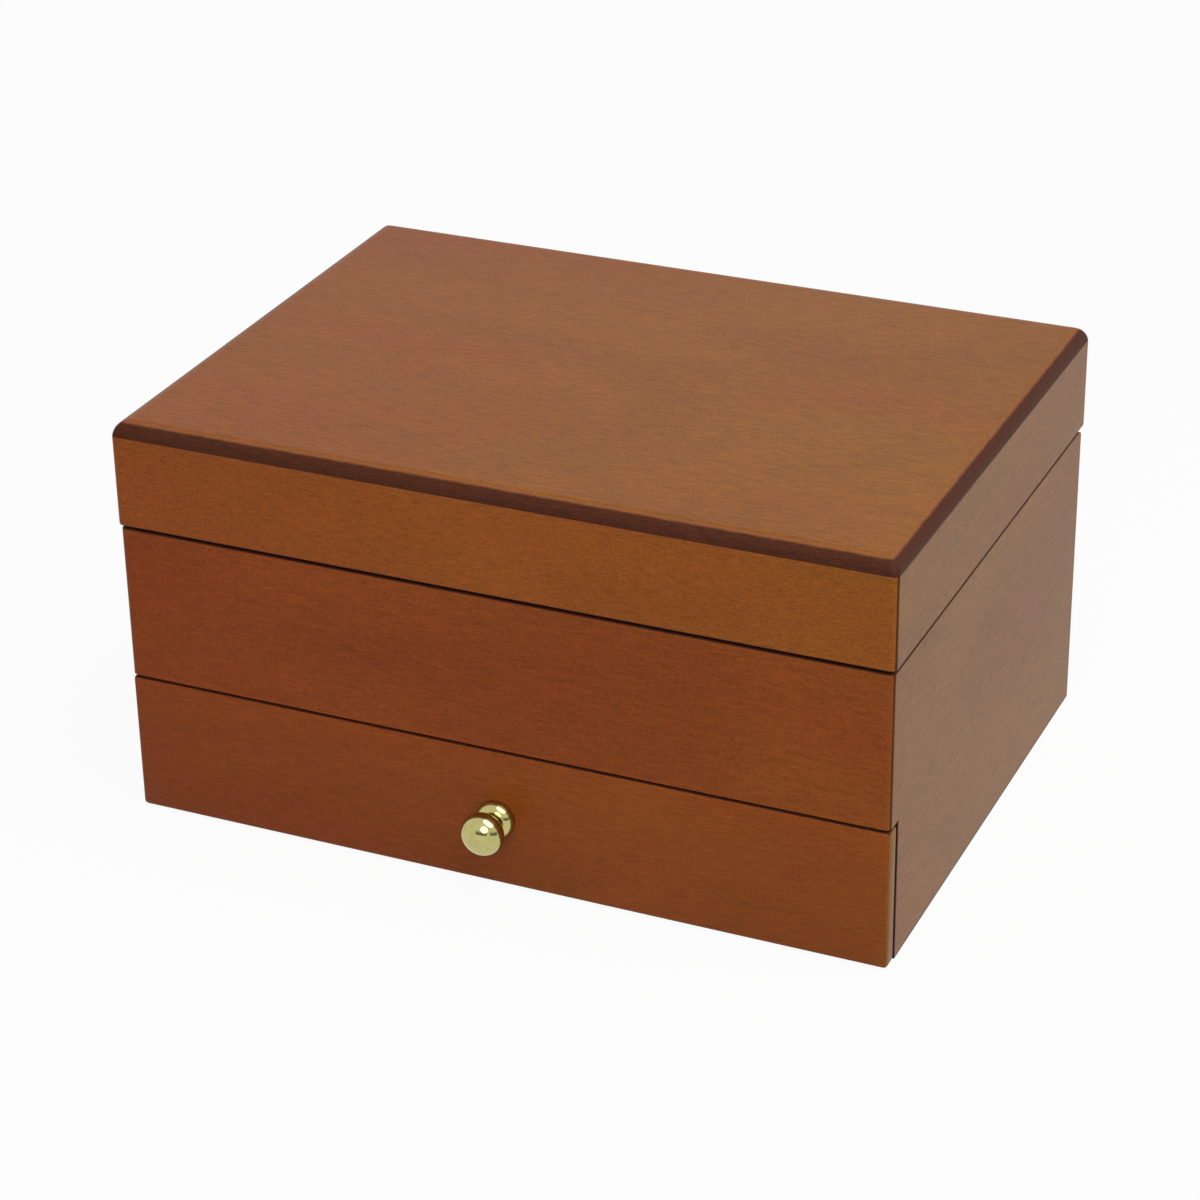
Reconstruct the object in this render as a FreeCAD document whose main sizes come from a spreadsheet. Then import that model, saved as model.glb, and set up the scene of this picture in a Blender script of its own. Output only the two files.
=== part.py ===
import FreeCAD, Part
import math
import os
import re
import Sketcher

# Wooden ring box: a case with a hinged lid, a tray of ring rolls and a drawer below it.
# Millimetres. Origin at the centre of the underside, +Z up, the front faces -Y.

Vector = FreeCAD.Vector
doc = FreeCAD.newDocument("ring_box")

# ---------------------------------------------------------------- driving sizes

driving = {
    # case
    "caseWidth": 200.0,
    "caseDepth": 145.0,
    "caseHeight": 78.3,
    "wall": 8.0,
    "cornerRound": 1.5,
    "rimRound": 0.6,
    "rearRimRound": 4.5,
    "trayFloorThickness": 3.0,
    "trayFloorRise": 2.0,
    "grooveDepth": 3.0,
    "baseThickness": 4.0,
    "baseRebate": 4.0,
    "feltThickness": 0.8,
    "feltInset": 4.0,
    # lid
    "lidHeight": 27.5,
    "lidGap": 0.7,
    "lidOverhang": 0.4,
    "lidRound": 4.0,
    "lidRimRound": 0.5,
    "topThickness": 3.4,
    "mirrorThickness": 2.5,
    "mirrorLap": 5.0,
    "mirrorFit": 0.2,
    "surroundBar": 14.0,
    "surroundThickness": 3.0,
    "lidLiningThickness": 1.2,
    # tray
    "lipThickness": 2.0,
    "lipRise": 4.0,
    "lipTopGap": 1.0,
    "trayPadThickness": 1.2,
    "ringRollCount": 7,
    "rollHeight": 22.0,
    "rollGap": 0.4,
    "rollRound": 7.5,
    # drawer
    "drawerFrontHeight": 37.1,
    "drawerFrontThickness": 5.0,
    "drawerFrontRound": 1.2,
    "drawerReveal": 0.6,
    "drawerBackGap": 0.35,
    "drawerSideGap": 0.4,
    "drawerUnderGap": 0.3,
    "drawerRearGap": 2.0,
    "drawerBoxHeight": 28.0,
    "drawerBoxWall": 5.0,
    "drawerBoxRound": 1.0,
    "drawerBottomThickness": 3.0,
    "drawerLiningThickness": 1.2,
    "drawerLiningDrop": 2.0,
    "dividerThickness": 3.0,
    "dividerHeight": 18.0,
    "dividerFit": 0.2,
    "cellRatio": 0.33,
    # knob and its screw
    "knobFlangeRadius": 5.0,
    "knobFlangeReach": 0.6,
    "knobDome": 3.0,
    "knobNeckRadius": 1.8,
    "knobNeckReach": 3.6,
    "knobBallRadius": 5.5,
    "knobBallDepth": 4.05,
    "knobBallSide": 3.3,
    "knobBallReach": 8.05,
    "knobBore": 7.5,
    "knobScrewRadius": 1.25,
    "knobScrewGrip": 6.5,
    "knobScrewHeadRadius": 2.4,
    "knobScrewHeadHeight": 1.6,
    "slotWidth": 0.6,
    "slotDepth": 0.7,
    # hinges and their screws
    "hingeInset": 40.0,
    "hingeLength": 24.0,
    "hingeAxisInset": 1.8,
    "hingeClosedHeight": 2.7,
    "leafThickness": 0.8,
    "leafDepth": 5.8,
    "knuckleRadius": 1.14,
    "knuckleGap": 0.15,
    "pinRadius": 0.5,
    "pinFit": 0.04,
    "gainFit": 0.3,
    "screwPitch": 13.0,
    "screwLength": 6.0,
    "screwRadius": 0.8,
    "screwHeadRadius": 1.5,
    "screwFit": 0.05,
}

# Places that follow from the driving sizes, as formulas.
places = {
    "halfWidth": "caseWidth / 2",
    "halfDepth": "caseDepth / 2",
    "innerX": "halfWidth - wall",
    "innerY": "halfDepth - wall",
    "woodBase": "feltThickness",
    "rim": "woodBase + caseHeight",
    "baseTop": "woodBase + baseThickness",
    # drawer bay
    "drawerFrontTop": "woodBase + drawerFrontHeight",
    "bayTop": "drawerFrontTop + drawerReveal",
    "bayFront": "drawerFrontThickness + drawerBackGap - halfDepth",
    # tray
    "trayFloorLow": "bayTop + trayFloorRise",
    "trayFloorTop": "trayFloorLow + trayFloorThickness",
    "trayX": "innerX - lipThickness",
    "trayY": "innerY - lipThickness",
    "lipTop": "rim + lipRise",
    "rollLow": "trayFloorTop + trayPadThickness",
    "rollPitch": "(2 * trayY - rollGap) / ringRollCount",
    "rollWidth": "rollPitch - rollGap",
    # lid
    "lidBase": "rim + lidGap",
    "lidTop": "lidBase + lidHeight",
    "panelLow": "lidTop - topThickness",
    "lidX": "halfWidth + lidOverhang",
    "lidY": "halfDepth + lidOverhang",
    "lidInnerX": "lidX - wall",
    "lidInnerY": "lidY - wall",
    "mirrorLow": "panelLow - mirrorThickness",
    "surroundLow": "mirrorLow - surroundThickness",
    "windowX": "lidInnerX - surroundBar",
    "windowY": "lidInnerY - surroundBar",
    "mirrorX": "windowX + mirrorLap",
    "mirrorY": "windowY + mirrorLap",
    "lidLiningLow": "lipTop + lipTopGap",
    # drawer box
    "boxX": "innerX - drawerSideGap",
    "boxFront": "drawerFrontThickness - halfDepth",
    "boxRear": "innerY - drawerRearGap",
    "boxLow": "baseTop + drawerUnderGap",
    "boxTop": "boxLow + drawerBoxHeight",
    "boxInnerX": "boxX - drawerBoxWall",
    "boxInnerFront": "boxFront + drawerBoxWall",
    "boxInnerRear": "boxRear - drawerBoxWall",
    "drawerFloor": "boxLow + drawerBottomThickness",
    "cellX": "boxInnerX - drawerLiningThickness",
    "cellFront": "boxInnerFront + drawerLiningThickness",
    "cellRear": "boxInnerRear - drawerLiningThickness",
    "cellLow": "drawerFloor + drawerLiningThickness",
    "cellMid": "(cellFront + cellRear) / 2",
    "crossX": "cellX * cellRatio",
    "dividerTop": "cellLow + dividerHeight",
    "dividerMid": "cellLow + dividerHeight / 2",
    # knob
    "knobZ": "woodBase + drawerFrontHeight / 2",
    "ballFace": "((knobBallRadius - knobBallSide) ^ 2 + knobBallDepth ^ 2 - knobBallSide ^ 2)"
                " / (2 * (knobBallDepth - knobBallSide))",
    "ballTurnReach": "knobBallSide * (ballFace - knobBallDepth) / (ballFace - knobBallSide)",
    "ballTurnRadius": "(knobBallRadius - knobBallSide) * ballFace / (ballFace - knobBallSide)",
    "ballStart": "knobBallReach - knobBallDepth + ballFace"
                 " - sqrt(ballFace ^ 2 - knobNeckRadius ^ 2)",
    "knobTip": "knobBallReach + knobBallDepth",
    "knobScrewHeadTop": "boxInnerFront",
    "knobScrewHeadSeat": "boxInnerFront - knobScrewHeadHeight",
    # hinges
    "hingeX": "halfWidth - hingeInset",
    "axisY": "lidY - hingeAxisInset",
    "axisZ": "lidBase - hingeClosedHeight / 2",
    "gainFloor": "lidBase - hingeClosedHeight",
    "leafFront": "axisY - leafDepth",
    "leafRear": "axisY - knuckleRadius - knuckleGap",
    "leafMid": "(leafFront + leafRear) / 2",
    "knuckleLength": "hingeLength / 3",
}

sheet = doc.addObject("Spreadsheet::Sheet", "sizes")
for row, (alias, value) in enumerate(driving.items(), 1):
    sheet.set(f"A{row}", alias)
    sheet.set(f"B{row}", str(value))
    sheet.setAlias(f"B{row}", alias)
doc.recompute()


def expr(text):
    """Turn a formula of size and place names into an expression on the sheet."""
    def swap(match):
        word = match.group()
        if word in places:
            return "(" + expr(places[word]) + ")"
        return "sizes." + word if word in driving else word
    return re.sub(r"[A-Za-z]\w*", swap, text)


def value(text):
    """Today's number of a formula."""
    return float(sheet.evalExpression(expr(text)))


# ---------------------------------------------------------------- building blocks

OVER = "1"           # how far a cutter runs past the face that it cuts
subParts = []


def subPart(label, shaped):
    """Name an object as one sub-part of the box."""
    shaped.Label = label
    subParts.append(shaped)
    return shaped


def span(reach):
    """The pair of formulas that reaches equally to both sides of zero."""
    return f"-({reach})", reach


def flip(pair):
    """The same stretch on the other side of zero."""
    low, high = pair
    return f"-({high})", f"-({low})"


def block(name, x, y, z):
    """A box between three pairs of formulas, low and high."""
    solid = doc.addObject("Part::Box", name)
    for size, axis, (low, high) in (("Length", "x", x), ("Width", "y", y), ("Height", "z", z)):
        solid.setExpression(size, expr(f"({high}) - ({low})"))
        solid.setExpression(f"Placement.Base.{axis}", expr(low))
    return solid


def place(solid, x, y, z, turn):
    """Bind an object's place to three formulas and set its turn."""
    solid.Placement = FreeCAD.Placement(Vector(), turn)
    for axis, formula in zip("xyz", (x, y, z)):
        solid.setExpression(f"Placement.Base.{axis}", expr(formula))
    return solid


alongX = FreeCAD.Rotation(Vector(0, 1, 0), 90)
alongY = FreeCAD.Rotation(Vector(1, 0, 0), -90)
upright = FreeCAD.Rotation()
hanging = FreeCAD.Rotation(Vector(1, 0, 0), 180)


def rod(name, x, y, z, radius, length, turn):
    """A cylinder that starts at a point and runs along its turned axis."""
    solid = doc.addObject("Part::Cylinder", name)
    solid.setExpression("Radius", expr(radius))
    solid.setExpression("Height", expr(length))
    return place(solid, x, y, z, turn)


def taper(name, x, y, z, radiusLow, radiusHigh, length, turn):
    """A cone that starts at a point and runs along its turned axis."""
    solid = doc.addObject("Part::Cone", name)
    solid.setExpression("Radius1", expr(radiusLow))
    solid.setExpression("Radius2", expr(radiusHigh))
    solid.setExpression("Height", expr(length))
    return place(solid, x, y, z, turn)


def common(name, base, tool):
    solid = doc.addObject("Part::Common", name)
    solid.Base = base
    solid.Tool = tool
    return solid


def fuse(name, solids):
    solid = doc.addObject("Part::MultiFuse", name)
    solid.Shapes = solids
    return solid


def group(name, solids):
    solid = doc.addObject("Part::Compound", name)
    solid.Links = solids
    return solid


def cut(name, base, tools):
    solid = doc.addObject("Part::Cut", name)
    solid.Base = base
    solid.Tool = tools[0] if len(tools) == 1 else fuse(name + "_cutters", tools)
    return solid


def mirrored(name, source):
    """The same piece on the other side of the middle plane."""
    solid = doc.addObject("Part::Mirroring", name)
    solid.Source = source
    solid.Normal = Vector(1, 0, 0)
    return solid


def sketchOn(body, name, role, lift="0"):
    """A sketch on one of a body's own origin planes, lifted off it by a formula."""
    sketch = body.newObject("Sketcher::SketchObject", name)
    plane = [item for item in body.Origin.OriginFeatures if item.Role == role][0]
    sketch.AttachmentSupport = [(plane, "")]
    sketch.MapMode = "FlatFace"
    sketch.setExpression("AttachmentOffset.Base.z", expr(lift))
    return sketch


def arcBetween(start, end, radius):
    """A short arc from start to end, with its centre on the left where radius is positive."""
    chord = end - start
    middle = (start + end) / 2
    side = Vector(-chord.y, chord.x, 0).normalize() * math.copysign(1, radius)
    centre = middle + side * math.sqrt(radius ** 2 - (chord.Length / 2) ** 2)
    circle = Part.Circle(centre, Vector(0, 0, 1), abs(radius))
    first, last = (start, end) if radius > 0 else (end, start)
    angles = [math.atan2(point.y - centre.y, point.x - centre.x) for point in (first, last)]
    return Part.ArcOfCircle(circle, *angles)


def outline(sketch, corners):
    """A closed outline. A corner is two formulas, and a third is the radius of an arc to the next."""
    points = [Vector(value(corner[0]), value(corner[1]), 0) for corner in corners]
    ends = []
    for index, corner in enumerate(corners):
        start = points[index]
        end = points[(index + 1) % len(points)]
        if len(corner) == 3:
            radius = value(corner[2])
            edge = sketch.addGeometry(arcBetween(start, end, radius))
            ends.append((1, 2) if radius > 0 else (2, 1))
            formula = f"abs({corner[2]})"
            mark = sketch.addConstraint(Sketcher.Constraint("Radius", edge, abs(radius)))
            sketch.setExpression(f"Constraints[{mark}]", expr(formula))
        else:
            edge = sketch.addGeometry(Part.LineSegment(start, end))
            ends.append((1, 2))
    for index, corner in enumerate(corners):
        following = (index + 1) % len(corners)
        sketch.addConstraint(
            Sketcher.Constraint("Coincident", index, ends[index][1], following, ends[following][0]))
        for kind, formula, number in zip(("DistanceX", "DistanceY"), corner, points[index]):
            mark = sketch.addConstraint(
                Sketcher.Constraint(kind, -1, 1, index, ends[index][0], number))
            sketch.setExpression(f"Constraints[{mark}]", expr(formula))
    return sketch


def rectangle(x, y):
    """The corners of a rectangle between two pairs of formulas."""
    return [(x[0], y[0]), (x[1], y[0]), (x[1], y[1]), (x[0], y[1])]


def pad(body, name, role, corners, low, high):
    """A pad of an outline between two heights over one of the body's origin planes."""
    sketch = outline(sketchOn(body, name + "_sketch", role, low), corners)
    feature = body.newObject("PartDesign::Pad", name)
    feature.Profile = sketch
    feature.setExpression("Length", expr(f"({high}) - ({low})"))
    doc.recompute()
    return feature


def spin(body, name, role, corners):
    """A full turn of an outline about its sketch's first axis."""
    sketch = outline(sketchOn(body, name + "_sketch", role), corners)
    feature = body.newObject("PartDesign::Revolution", name)
    feature.Profile = sketch
    feature.ReferenceAxis = (sketch, ["H_Axis"])
    feature.Angle = 360
    doc.recompute()
    return feature


def fillet(body, name, feature, radius, chosen):
    """Round the edges of a feature that a test on their bounding boxes chooses."""
    edges = [f"Edge{number}" for number, edge in enumerate(feature.Shape.Edges, 1)
             if chosen(edge.BoundBox)]
    rounded = body.newObject("PartDesign::Fillet", name)
    rounded.Base = (feature, edges)
    rounded.setExpression("Radius", expr(radius))
    doc.recompute()
    return rounded


def near(one, other):
    return abs(one - other) < 1e-4


def isUpright(box):
    return box.ZLength > max(box.XLength, box.YLength)


def liesAt(height):
    level = value(height)
    return lambda box: near(box.ZMin, level) and near(box.ZMax, level)


def board(name, x, y, z, radius=None, chosen=None):
    """A padded rectangle, with the chosen edges rounded."""
    body = doc.addObject("PartDesign::Body", name)
    feature = pad(body, name + "_pad", "XY_Plane", rectangle(x, y), *z)
    if radius:
        fillet(body, name + "_round", feature, radius, chosen)
    return body


# ---------------------------------------------------------------- case

def frameBlank(name, x, y, z, cornerRadius):
    """A block with rounded upright corners, from which a mitred frame is cut."""
    body = doc.addObject("PartDesign::Body", name)
    feature = pad(body, name + "_pad", "XY_Plane", rectangle(span(x), span(y)), *z)
    return body, fillet(body, name + "_corners", feature, cornerRadius, isUpright)


def mitred(outerX, outerY, innerX, innerY):
    """Outlines of the front, back and left boards of a frame with mitred corners."""
    front = [(f"-({outerX})", f"-({outerY})"), (outerX, f"-({outerY})"),
             (innerX, f"-({innerY})"), (f"-({innerX})", f"-({innerY})")]
    back = [(x, f"-({y})") for x, y in reversed(front)]
    left = [(f"-({outerX})", f"-({outerY})"), (f"-({innerX})", f"-({innerY})"),
            (f"-({innerX})", innerY), (f"-({outerX})", outerY)]
    return front, back, left


def stick(name, corners, low, high):
    """A straight length of board with the given plan."""
    body = doc.addObject("PartDesign::Body", name)
    pad(body, name + "_pad", "XY_Plane", corners, low, high)
    return body


def buildCase():
    blank, feature = frameBlank("case_blank", "halfWidth", "halfDepth", ("woodBase", "rim"),
                                "cornerRound")
    fillet(blank, "case_rim_round", feature, "rimRound", liesAt("rim"))
    # the rear rim is a larger quarter round, so that the open lid has room to turn
    corner = block("rear_rim_corner", span(f"halfWidth + {OVER}"),
                   ("halfDepth - rearRimRound", f"halfDepth + {OVER}"),
                   ("rim - rearRimRound", f"rim + {OVER}"))
    nose = rod("rear_rim_nose", f"-halfWidth - {OVER}", "halfDepth - rearRimRound",
               "rim - rearRimRound", "rearRimRound", f"caseWidth + 2 * {OVER}", alongX)
    shell = cut("case_shell", blank, [cut("rear_rim_cutter", corner, [nose])])

    groove = block("tray_floor_groove", span("innerX + grooveDepth"), span("innerY + grooveDepth"),
                   ("trayFloorLow", "trayFloorTop"))
    rebate = block("base_rebate", span("innerX + baseRebate"), ("bayFront", "innerY + baseRebate"),
                   (f"woodBase - {OVER}", "baseTop"))
    front, back, left = mitred("halfWidth", "halfDepth", "innerX", "innerY")

    board = stick("case_front_stick", front, "bayTop", "rim")
    subPart("case_front", cut("case_front", common("case_front_board", shell, board), [groove]))

    # each side is mitred to the front above the drawer and stops behind the drawer front below
    squared = [("-halfWidth", "bayFront"), ("-innerX", "bayFront"), ("-innerX", "innerY"),
               ("-halfWidth", "halfDepth")]
    side = stick("case_side_stick", squared, "woodBase", "bayTop")
    pad(side, "case_side_upper_pad", "XY_Plane", left, "bayTop", "rim")
    leftSide = cut("case_left_side", common("case_left_board", shell, side), [groove, rebate])
    subPart("case_left_side", leftSide)
    subPart("case_right_side", mirrored("case_right_side", leftSide))

    board = stick("case_back_stick", back, "woodBase", "rim")
    cutters = [groove, rebate]
    for side, centre in hinges.items():
        cutters.append(block(f"gain_{side}", (f"{centre} - hingeLength / 2 - gainFit",
                                              f"{centre} + hingeLength / 2 + gainFit"),
                             ("leafFront - gainFit", f"halfDepth + {OVER}"),
                             ("gainFloor", f"rim + {OVER}")))
        cutters += pilotHoles(f"case_pilot_{side}", centre, "gainFloor", hanging)
    subPart("case_back", cut("case_back", common("case_back_board", shell, board), cutters))

    subPart("tray_floor", block("tray_floor", span("innerX + grooveDepth"),
                                span("innerY + grooveDepth"), ("trayFloorLow", "trayFloorTop")))
    subPart("base_panel", block("base_panel", span("innerX + baseRebate"),
                                ("bayFront", "innerY + baseRebate"), ("woodBase", "baseTop")))
    subPart("base_felt", block("base_felt", span("halfWidth - feltInset"),
                               ("bayFront", "halfDepth - feltInset"), ("0", "feltThickness")))


# ---------------------------------------------------------------- hinges

hinges = {"left": "-(hingeX)", "right": "hingeX"}
screwSteps = {"outer": "-screwPitch / 2", "inner": "screwPitch / 2"}


def pilotHoles(name, centre, z, turn):
    """Holes for the two screws of one leaf, from the wood's face inwards."""
    return [rod(f"{name}_{step}", f"{centre} + {shift}", "leafMid", z, "screwRadius + screwFit",
                "screwLength + screwFit", turn) for step, shift in screwSteps.items()]


def leaf(name, centre, plate, knuckles, upward):
    """One hinge leaf: a plate, its knuckles with the tongues that carry them, and its holes."""
    low, high = plate
    solids = [block(f"{name}_plate", (f"{centre} - hingeLength / 2", f"{centre} + hingeLength / 2"),
                    ("leafFront", "leafRear"), plate)]
    for number, (start, end) in enumerate(knuckles):
        stretch = (f"{centre} + {start}", f"{centre} + {end}")
        solids.append(block(f"{name}_tongue_{number}", stretch, ("leafRear", "axisY"), plate))
        solids.append(rod(f"{name}_knuckle_{number}", stretch[0], "axisY", "axisZ",
                          "knuckleRadius", f"({stretch[1]}) - ({stretch[0]})", alongX))
    cutters = [rod(f"{name}_bore", f"{centre} - hingeLength / 2 - {OVER}", "axisY", "axisZ",
                   "pinRadius + pinFit", f"hingeLength + 2 * {OVER}", alongX)]
    seat, turn = (low, upright) if upward else (high, hanging)
    for step, shift in screwSteps.items():
        cutters.append(taper(f"{name}_sink_{step}", f"{centre} + {shift}", "leafMid", seat,
                             "screwHeadRadius + screwFit", "screwRadius + screwFit",
                             "leafThickness", turn))
    return cut(name, fuse(f"{name}_blank", solids), cutters)


def screw(name, x, z, turn):
    """A countersunk wood screw: head, shank, point and slot, from its flat head onwards."""
    sign = "-" if turn is hanging else "+"
    head = taper(f"{name}_head", x, "leafMid", z, "screwHeadRadius", "screwRadius",
                 "leafThickness", turn)
    shank = rod(f"{name}_shank", x, "leafMid", f"{z} {sign} leafThickness", "screwRadius",
                "screwLength - screwRadius", turn)
    point = taper(f"{name}_point", x, "leafMid",
                  f"{z} {sign} (leafThickness + screwLength - screwRadius)", "screwRadius",
                  "screwRadius / 4", "screwRadius", turn)
    reach = (f"{z} - leafThickness / 2", f"{z} + leafThickness / 2")
    slot = block(f"{name}_slot", (f"{x} - screwHeadRadius", f"{x} + screwHeadRadius"),
                 ("leafMid - screwRadius / 4", "leafMid + screwRadius / 4"), reach)
    return cut(name, fuse(f"{name}_blank", [head, shank, point]), [slot])


def buildHinges():
    half = "hingeLength / 2"
    outer = [(f"-({half})", "-knuckleLength / 2"), ("knuckleLength / 2", half)]
    middle = [("-knuckleLength / 2 + knuckleGap", "knuckleLength / 2 - knuckleGap")]
    screws = {"case": [], "lid": []}
    for side, centre in hinges.items():
        name = f"hinge_{side}_case_leaf"
        subPart(name, leaf(name, centre, ("gainFloor", "gainFloor + leafThickness"), outer, False))
        name = f"hinge_{side}_lid_leaf"
        subPart(name, leaf(name, centre, ("lidBase - leafThickness", "lidBase"), middle, True))
        name = f"hinge_{side}_pin"
        subPart(name, rod(name, f"{centre} - {half}", "axisY", "axisZ", "pinRadius",
                          "hingeLength", alongX))
        for step, shift in screwSteps.items():
            x = f"{centre} + {shift}"
            screws["case"].append(screw(f"case_screw_{side}_{step}", x,
                                        "gainFloor + leafThickness", hanging))
            screws["lid"].append(screw(f"lid_screw_{side}_{step}", x,
                                       "lidBase - leafThickness", upright))
    for owner, solids in screws.items():
        subPart(f"hinge_{owner}_screws", group(f"hinge_{owner}_screws", solids))


# ---------------------------------------------------------------- tray

def liningWalls(prefix, x, front, rear, thickness, z):
    """Four lining strips inside a space: front and back full width, sides between them."""
    ends = (f"{front} + {thickness}", f"{rear} - {thickness}")
    subPart(f"{prefix}_front", block(f"{prefix}_front", span(x), (front, ends[0]), z))
    subPart(f"{prefix}_back", block(f"{prefix}_back", span(x), (ends[1], rear), z))
    right = (f"{x} - {thickness}", x)
    subPart(f"{prefix}_left", block(f"{prefix}_left", flip(right), ends, z))
    subPart(f"{prefix}_right", block(f"{prefix}_right", right, ends, z))


def buildTray():
    liningWalls("tray_lining", "innerX", "-(innerY)", "innerY", "lipThickness",
                ("trayFloorTop", "lipTop"))
    subPart("tray_pad", block("tray_pad", span("trayX"), span("trayY"),
                              ("trayFloorTop", "rollLow")))
    for number in range(int(value("ringRollCount"))):
        name = f"ring_roll_{number + 1}"
        front = f"rollGap - trayY + {number} * rollPitch"
        body = board(name, span("trayX - rollGap"), (front, f"{front} + rollWidth"),
                     ("rollLow", "rollLow + rollHeight"), "min(rollRound; rollWidth / 2 - rollGap)",
                     lambda box: box.XLength > box.YLength and liesAt("rollLow + rollHeight")(box))
        subPart(name, body)


# ---------------------------------------------------------------- lid

def buildLid():
    blank, feature = frameBlank("lid_blank", "lidX", "lidY", ("lidBase", "lidTop"), "cornerRound")
    feature = fillet(blank, "lid_rim_round", feature, "lidRimRound", liesAt("lidBase"))
    fillet(blank, "lid_top_round", feature, "lidRound", liesAt("lidTop"))

    slab = block("lid_top_slab", span(f"lidX + {OVER}"), span(f"lidY + {OVER}"),
                 ("panelLow", f"lidTop + {OVER}"))
    subPart("lid_top_panel", common("lid_top_panel", blank, slab))

    front, back, left = mitred("lidX", "lidY", "lidInnerX", "lidInnerY")
    stickFront = stick("lid_front_stick", front, "lidBase", "panelLow")
    stickBack = stick("lid_back_stick", back, "lidBase", "panelLow")
    stickLeft = stick("lid_left_stick", left, "lidBase", "panelLow")
    subPart("lid_front_rail", common("lid_front_rail", blank, stickFront))
    leftRail = subPart("lid_left_rail", common("lid_left_rail", blank, stickLeft))
    subPart("lid_right_rail", mirrored("lid_right_rail", leftRail))
    pilots = []
    for side, centre in hinges.items():
        pilots += pilotHoles(f"lid_pilot_{side}", centre, "lidBase", upright)
    subPart("lid_back_rail", cut("lid_back_rail", common("lid_back_board", blank, stickBack), pilots))

    subPart("mirror_glass", block("mirror_glass", span("mirrorX"), span("mirrorY"),
                                  ("mirrorLow", "panelLow")))
    frame = block("mirror_surround_blank", span("lidInnerX"), span("lidInnerY"),
                  ("surroundLow", "panelLow"))
    window = block("mirror_window", span("windowX"), span("windowY"),
                   (f"surroundLow - {OVER}", "mirrorLow"))
    seat = block("mirror_seat", span("mirrorX + mirrorFit"), span("mirrorY + mirrorFit"),
                 ("mirrorLow", f"panelLow + {OVER}"))
    subPart("mirror_surround", cut("mirror_surround", frame, [window, seat]))
    liningWalls("lid_lining", "lidInnerX", "-(lidInnerY)", "lidInnerY", "lidLiningThickness",
                ("lidLiningLow", "surroundLow"))


# ---------------------------------------------------------------- drawer

def frontEdges(box):
    """The four edges of the drawer front's outer face."""
    face = -value("halfDepth")
    return near(box.YMin, face) and near(box.YMax, face)


def topEdges(box):
    """The long upper edges of the drawer box's boards."""
    top = value("boxTop")
    return near(box.ZMin, top) and near(box.ZMax, top) and max(box.XLength, box.YLength) > (
        value("drawerBoxWall") + 1)


def buildDrawer():
    face = board("drawer_front_board", span("halfWidth"), ("-halfDepth", "boxFront"),
                 ("woodBase", "drawerFrontTop"), "drawerFrontRound", frontEdges)
    hole = rod("knob_screw_hole", "0", f"-halfDepth - {OVER}", "knobZ",
               "knobScrewRadius + screwFit", f"boxInnerFront + halfDepth + 2 * {OVER}", alongY)
    subPart("drawer_front", cut("drawer_front", face, [hole]))

    z = ("boxLow", "boxTop")
    right = ("boxInnerX", "boxX")
    subPart("drawer_box_left", board("drawer_box_left", flip(right), ("boxFront", "boxRear"), z,
                                     "drawerBoxRound", topEdges))
    subPart("drawer_box_right", board("drawer_box_right", right, ("boxFront", "boxRear"), z,
                                      "drawerBoxRound", topEdges))
    subPart("drawer_box_back", board("drawer_box_back", span("boxInnerX"),
                                     ("boxInnerRear", "boxRear"), z, "drawerBoxRound", topEdges))
    inner = board("drawer_box_front_board", span("boxInnerX"), ("boxFront", "boxInnerFront"), z,
                  "drawerBoxRound", topEdges)
    seat = rod("knob_screw_seat", "0", "knobScrewHeadSeat", "knobZ",
               "knobScrewHeadRadius + screwFit", f"knobScrewHeadHeight + {OVER}", alongY)
    subPart("drawer_box_front", cut("drawer_box_front", inner, [hole, seat]))
    subPart("drawer_bottom", block("drawer_bottom", span("boxInnerX"),
                                   ("boxInnerFront", "boxInnerRear"), ("boxLow", "drawerFloor")))

    liningWalls("drawer_lining", "boxInnerX", "boxInnerFront", "boxInnerRear",
                "drawerLiningThickness", ("drawerFloor", "boxTop - drawerLiningDrop"))
    subPart("drawer_pad", block("drawer_pad", span("cellX"), ("cellFront", "cellRear"),
                                ("drawerFloor", "cellLow")))
    buildDividers()


def buildDividers():
    """A long divider and two cross dividers, halved over each other where they meet."""
    half = "dividerThickness / 2"
    slotHalf = f"{half} + dividerFit"
    crossings = {"left": "-(crossX)", "right": "crossX"}
    long = block("divider_long_blank", span("cellX - dividerFit"),
                 (f"cellMid - {half}", f"cellMid + {half}"), ("cellLow", "dividerTop"))
    slots = [block(f"divider_long_slot_{side}", (f"{x} - ({slotHalf})", f"{x} + {slotHalf}"),
                   (f"cellMid - {half} - {OVER}", f"cellMid + {half} + {OVER}"),
                   ("dividerMid", f"dividerTop + {OVER}")) for side, x in crossings.items()]
    subPart("drawer_divider_long", cut("drawer_divider_long", long, slots))
    for side, x in crossings.items():
        name = f"drawer_divider_{side}"
        cross = block(f"{name}_blank", (f"{x} - {half}", f"{x} + {half}"),
                      ("cellFront + dividerFit", "cellRear - dividerFit"),
                      ("cellLow", "dividerTop"))
        slot = block(f"{name}_slot", (f"{x} - {half} - {OVER}", f"{x} + {half} + {OVER}"),
                     (f"cellMid - ({slotHalf})", f"cellMid + {slotHalf}"),
                     (f"cellLow - {OVER}", "dividerMid"))
        subPart(name, cut(name, cross, [slot]))


# ---------------------------------------------------------------- knob

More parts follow.
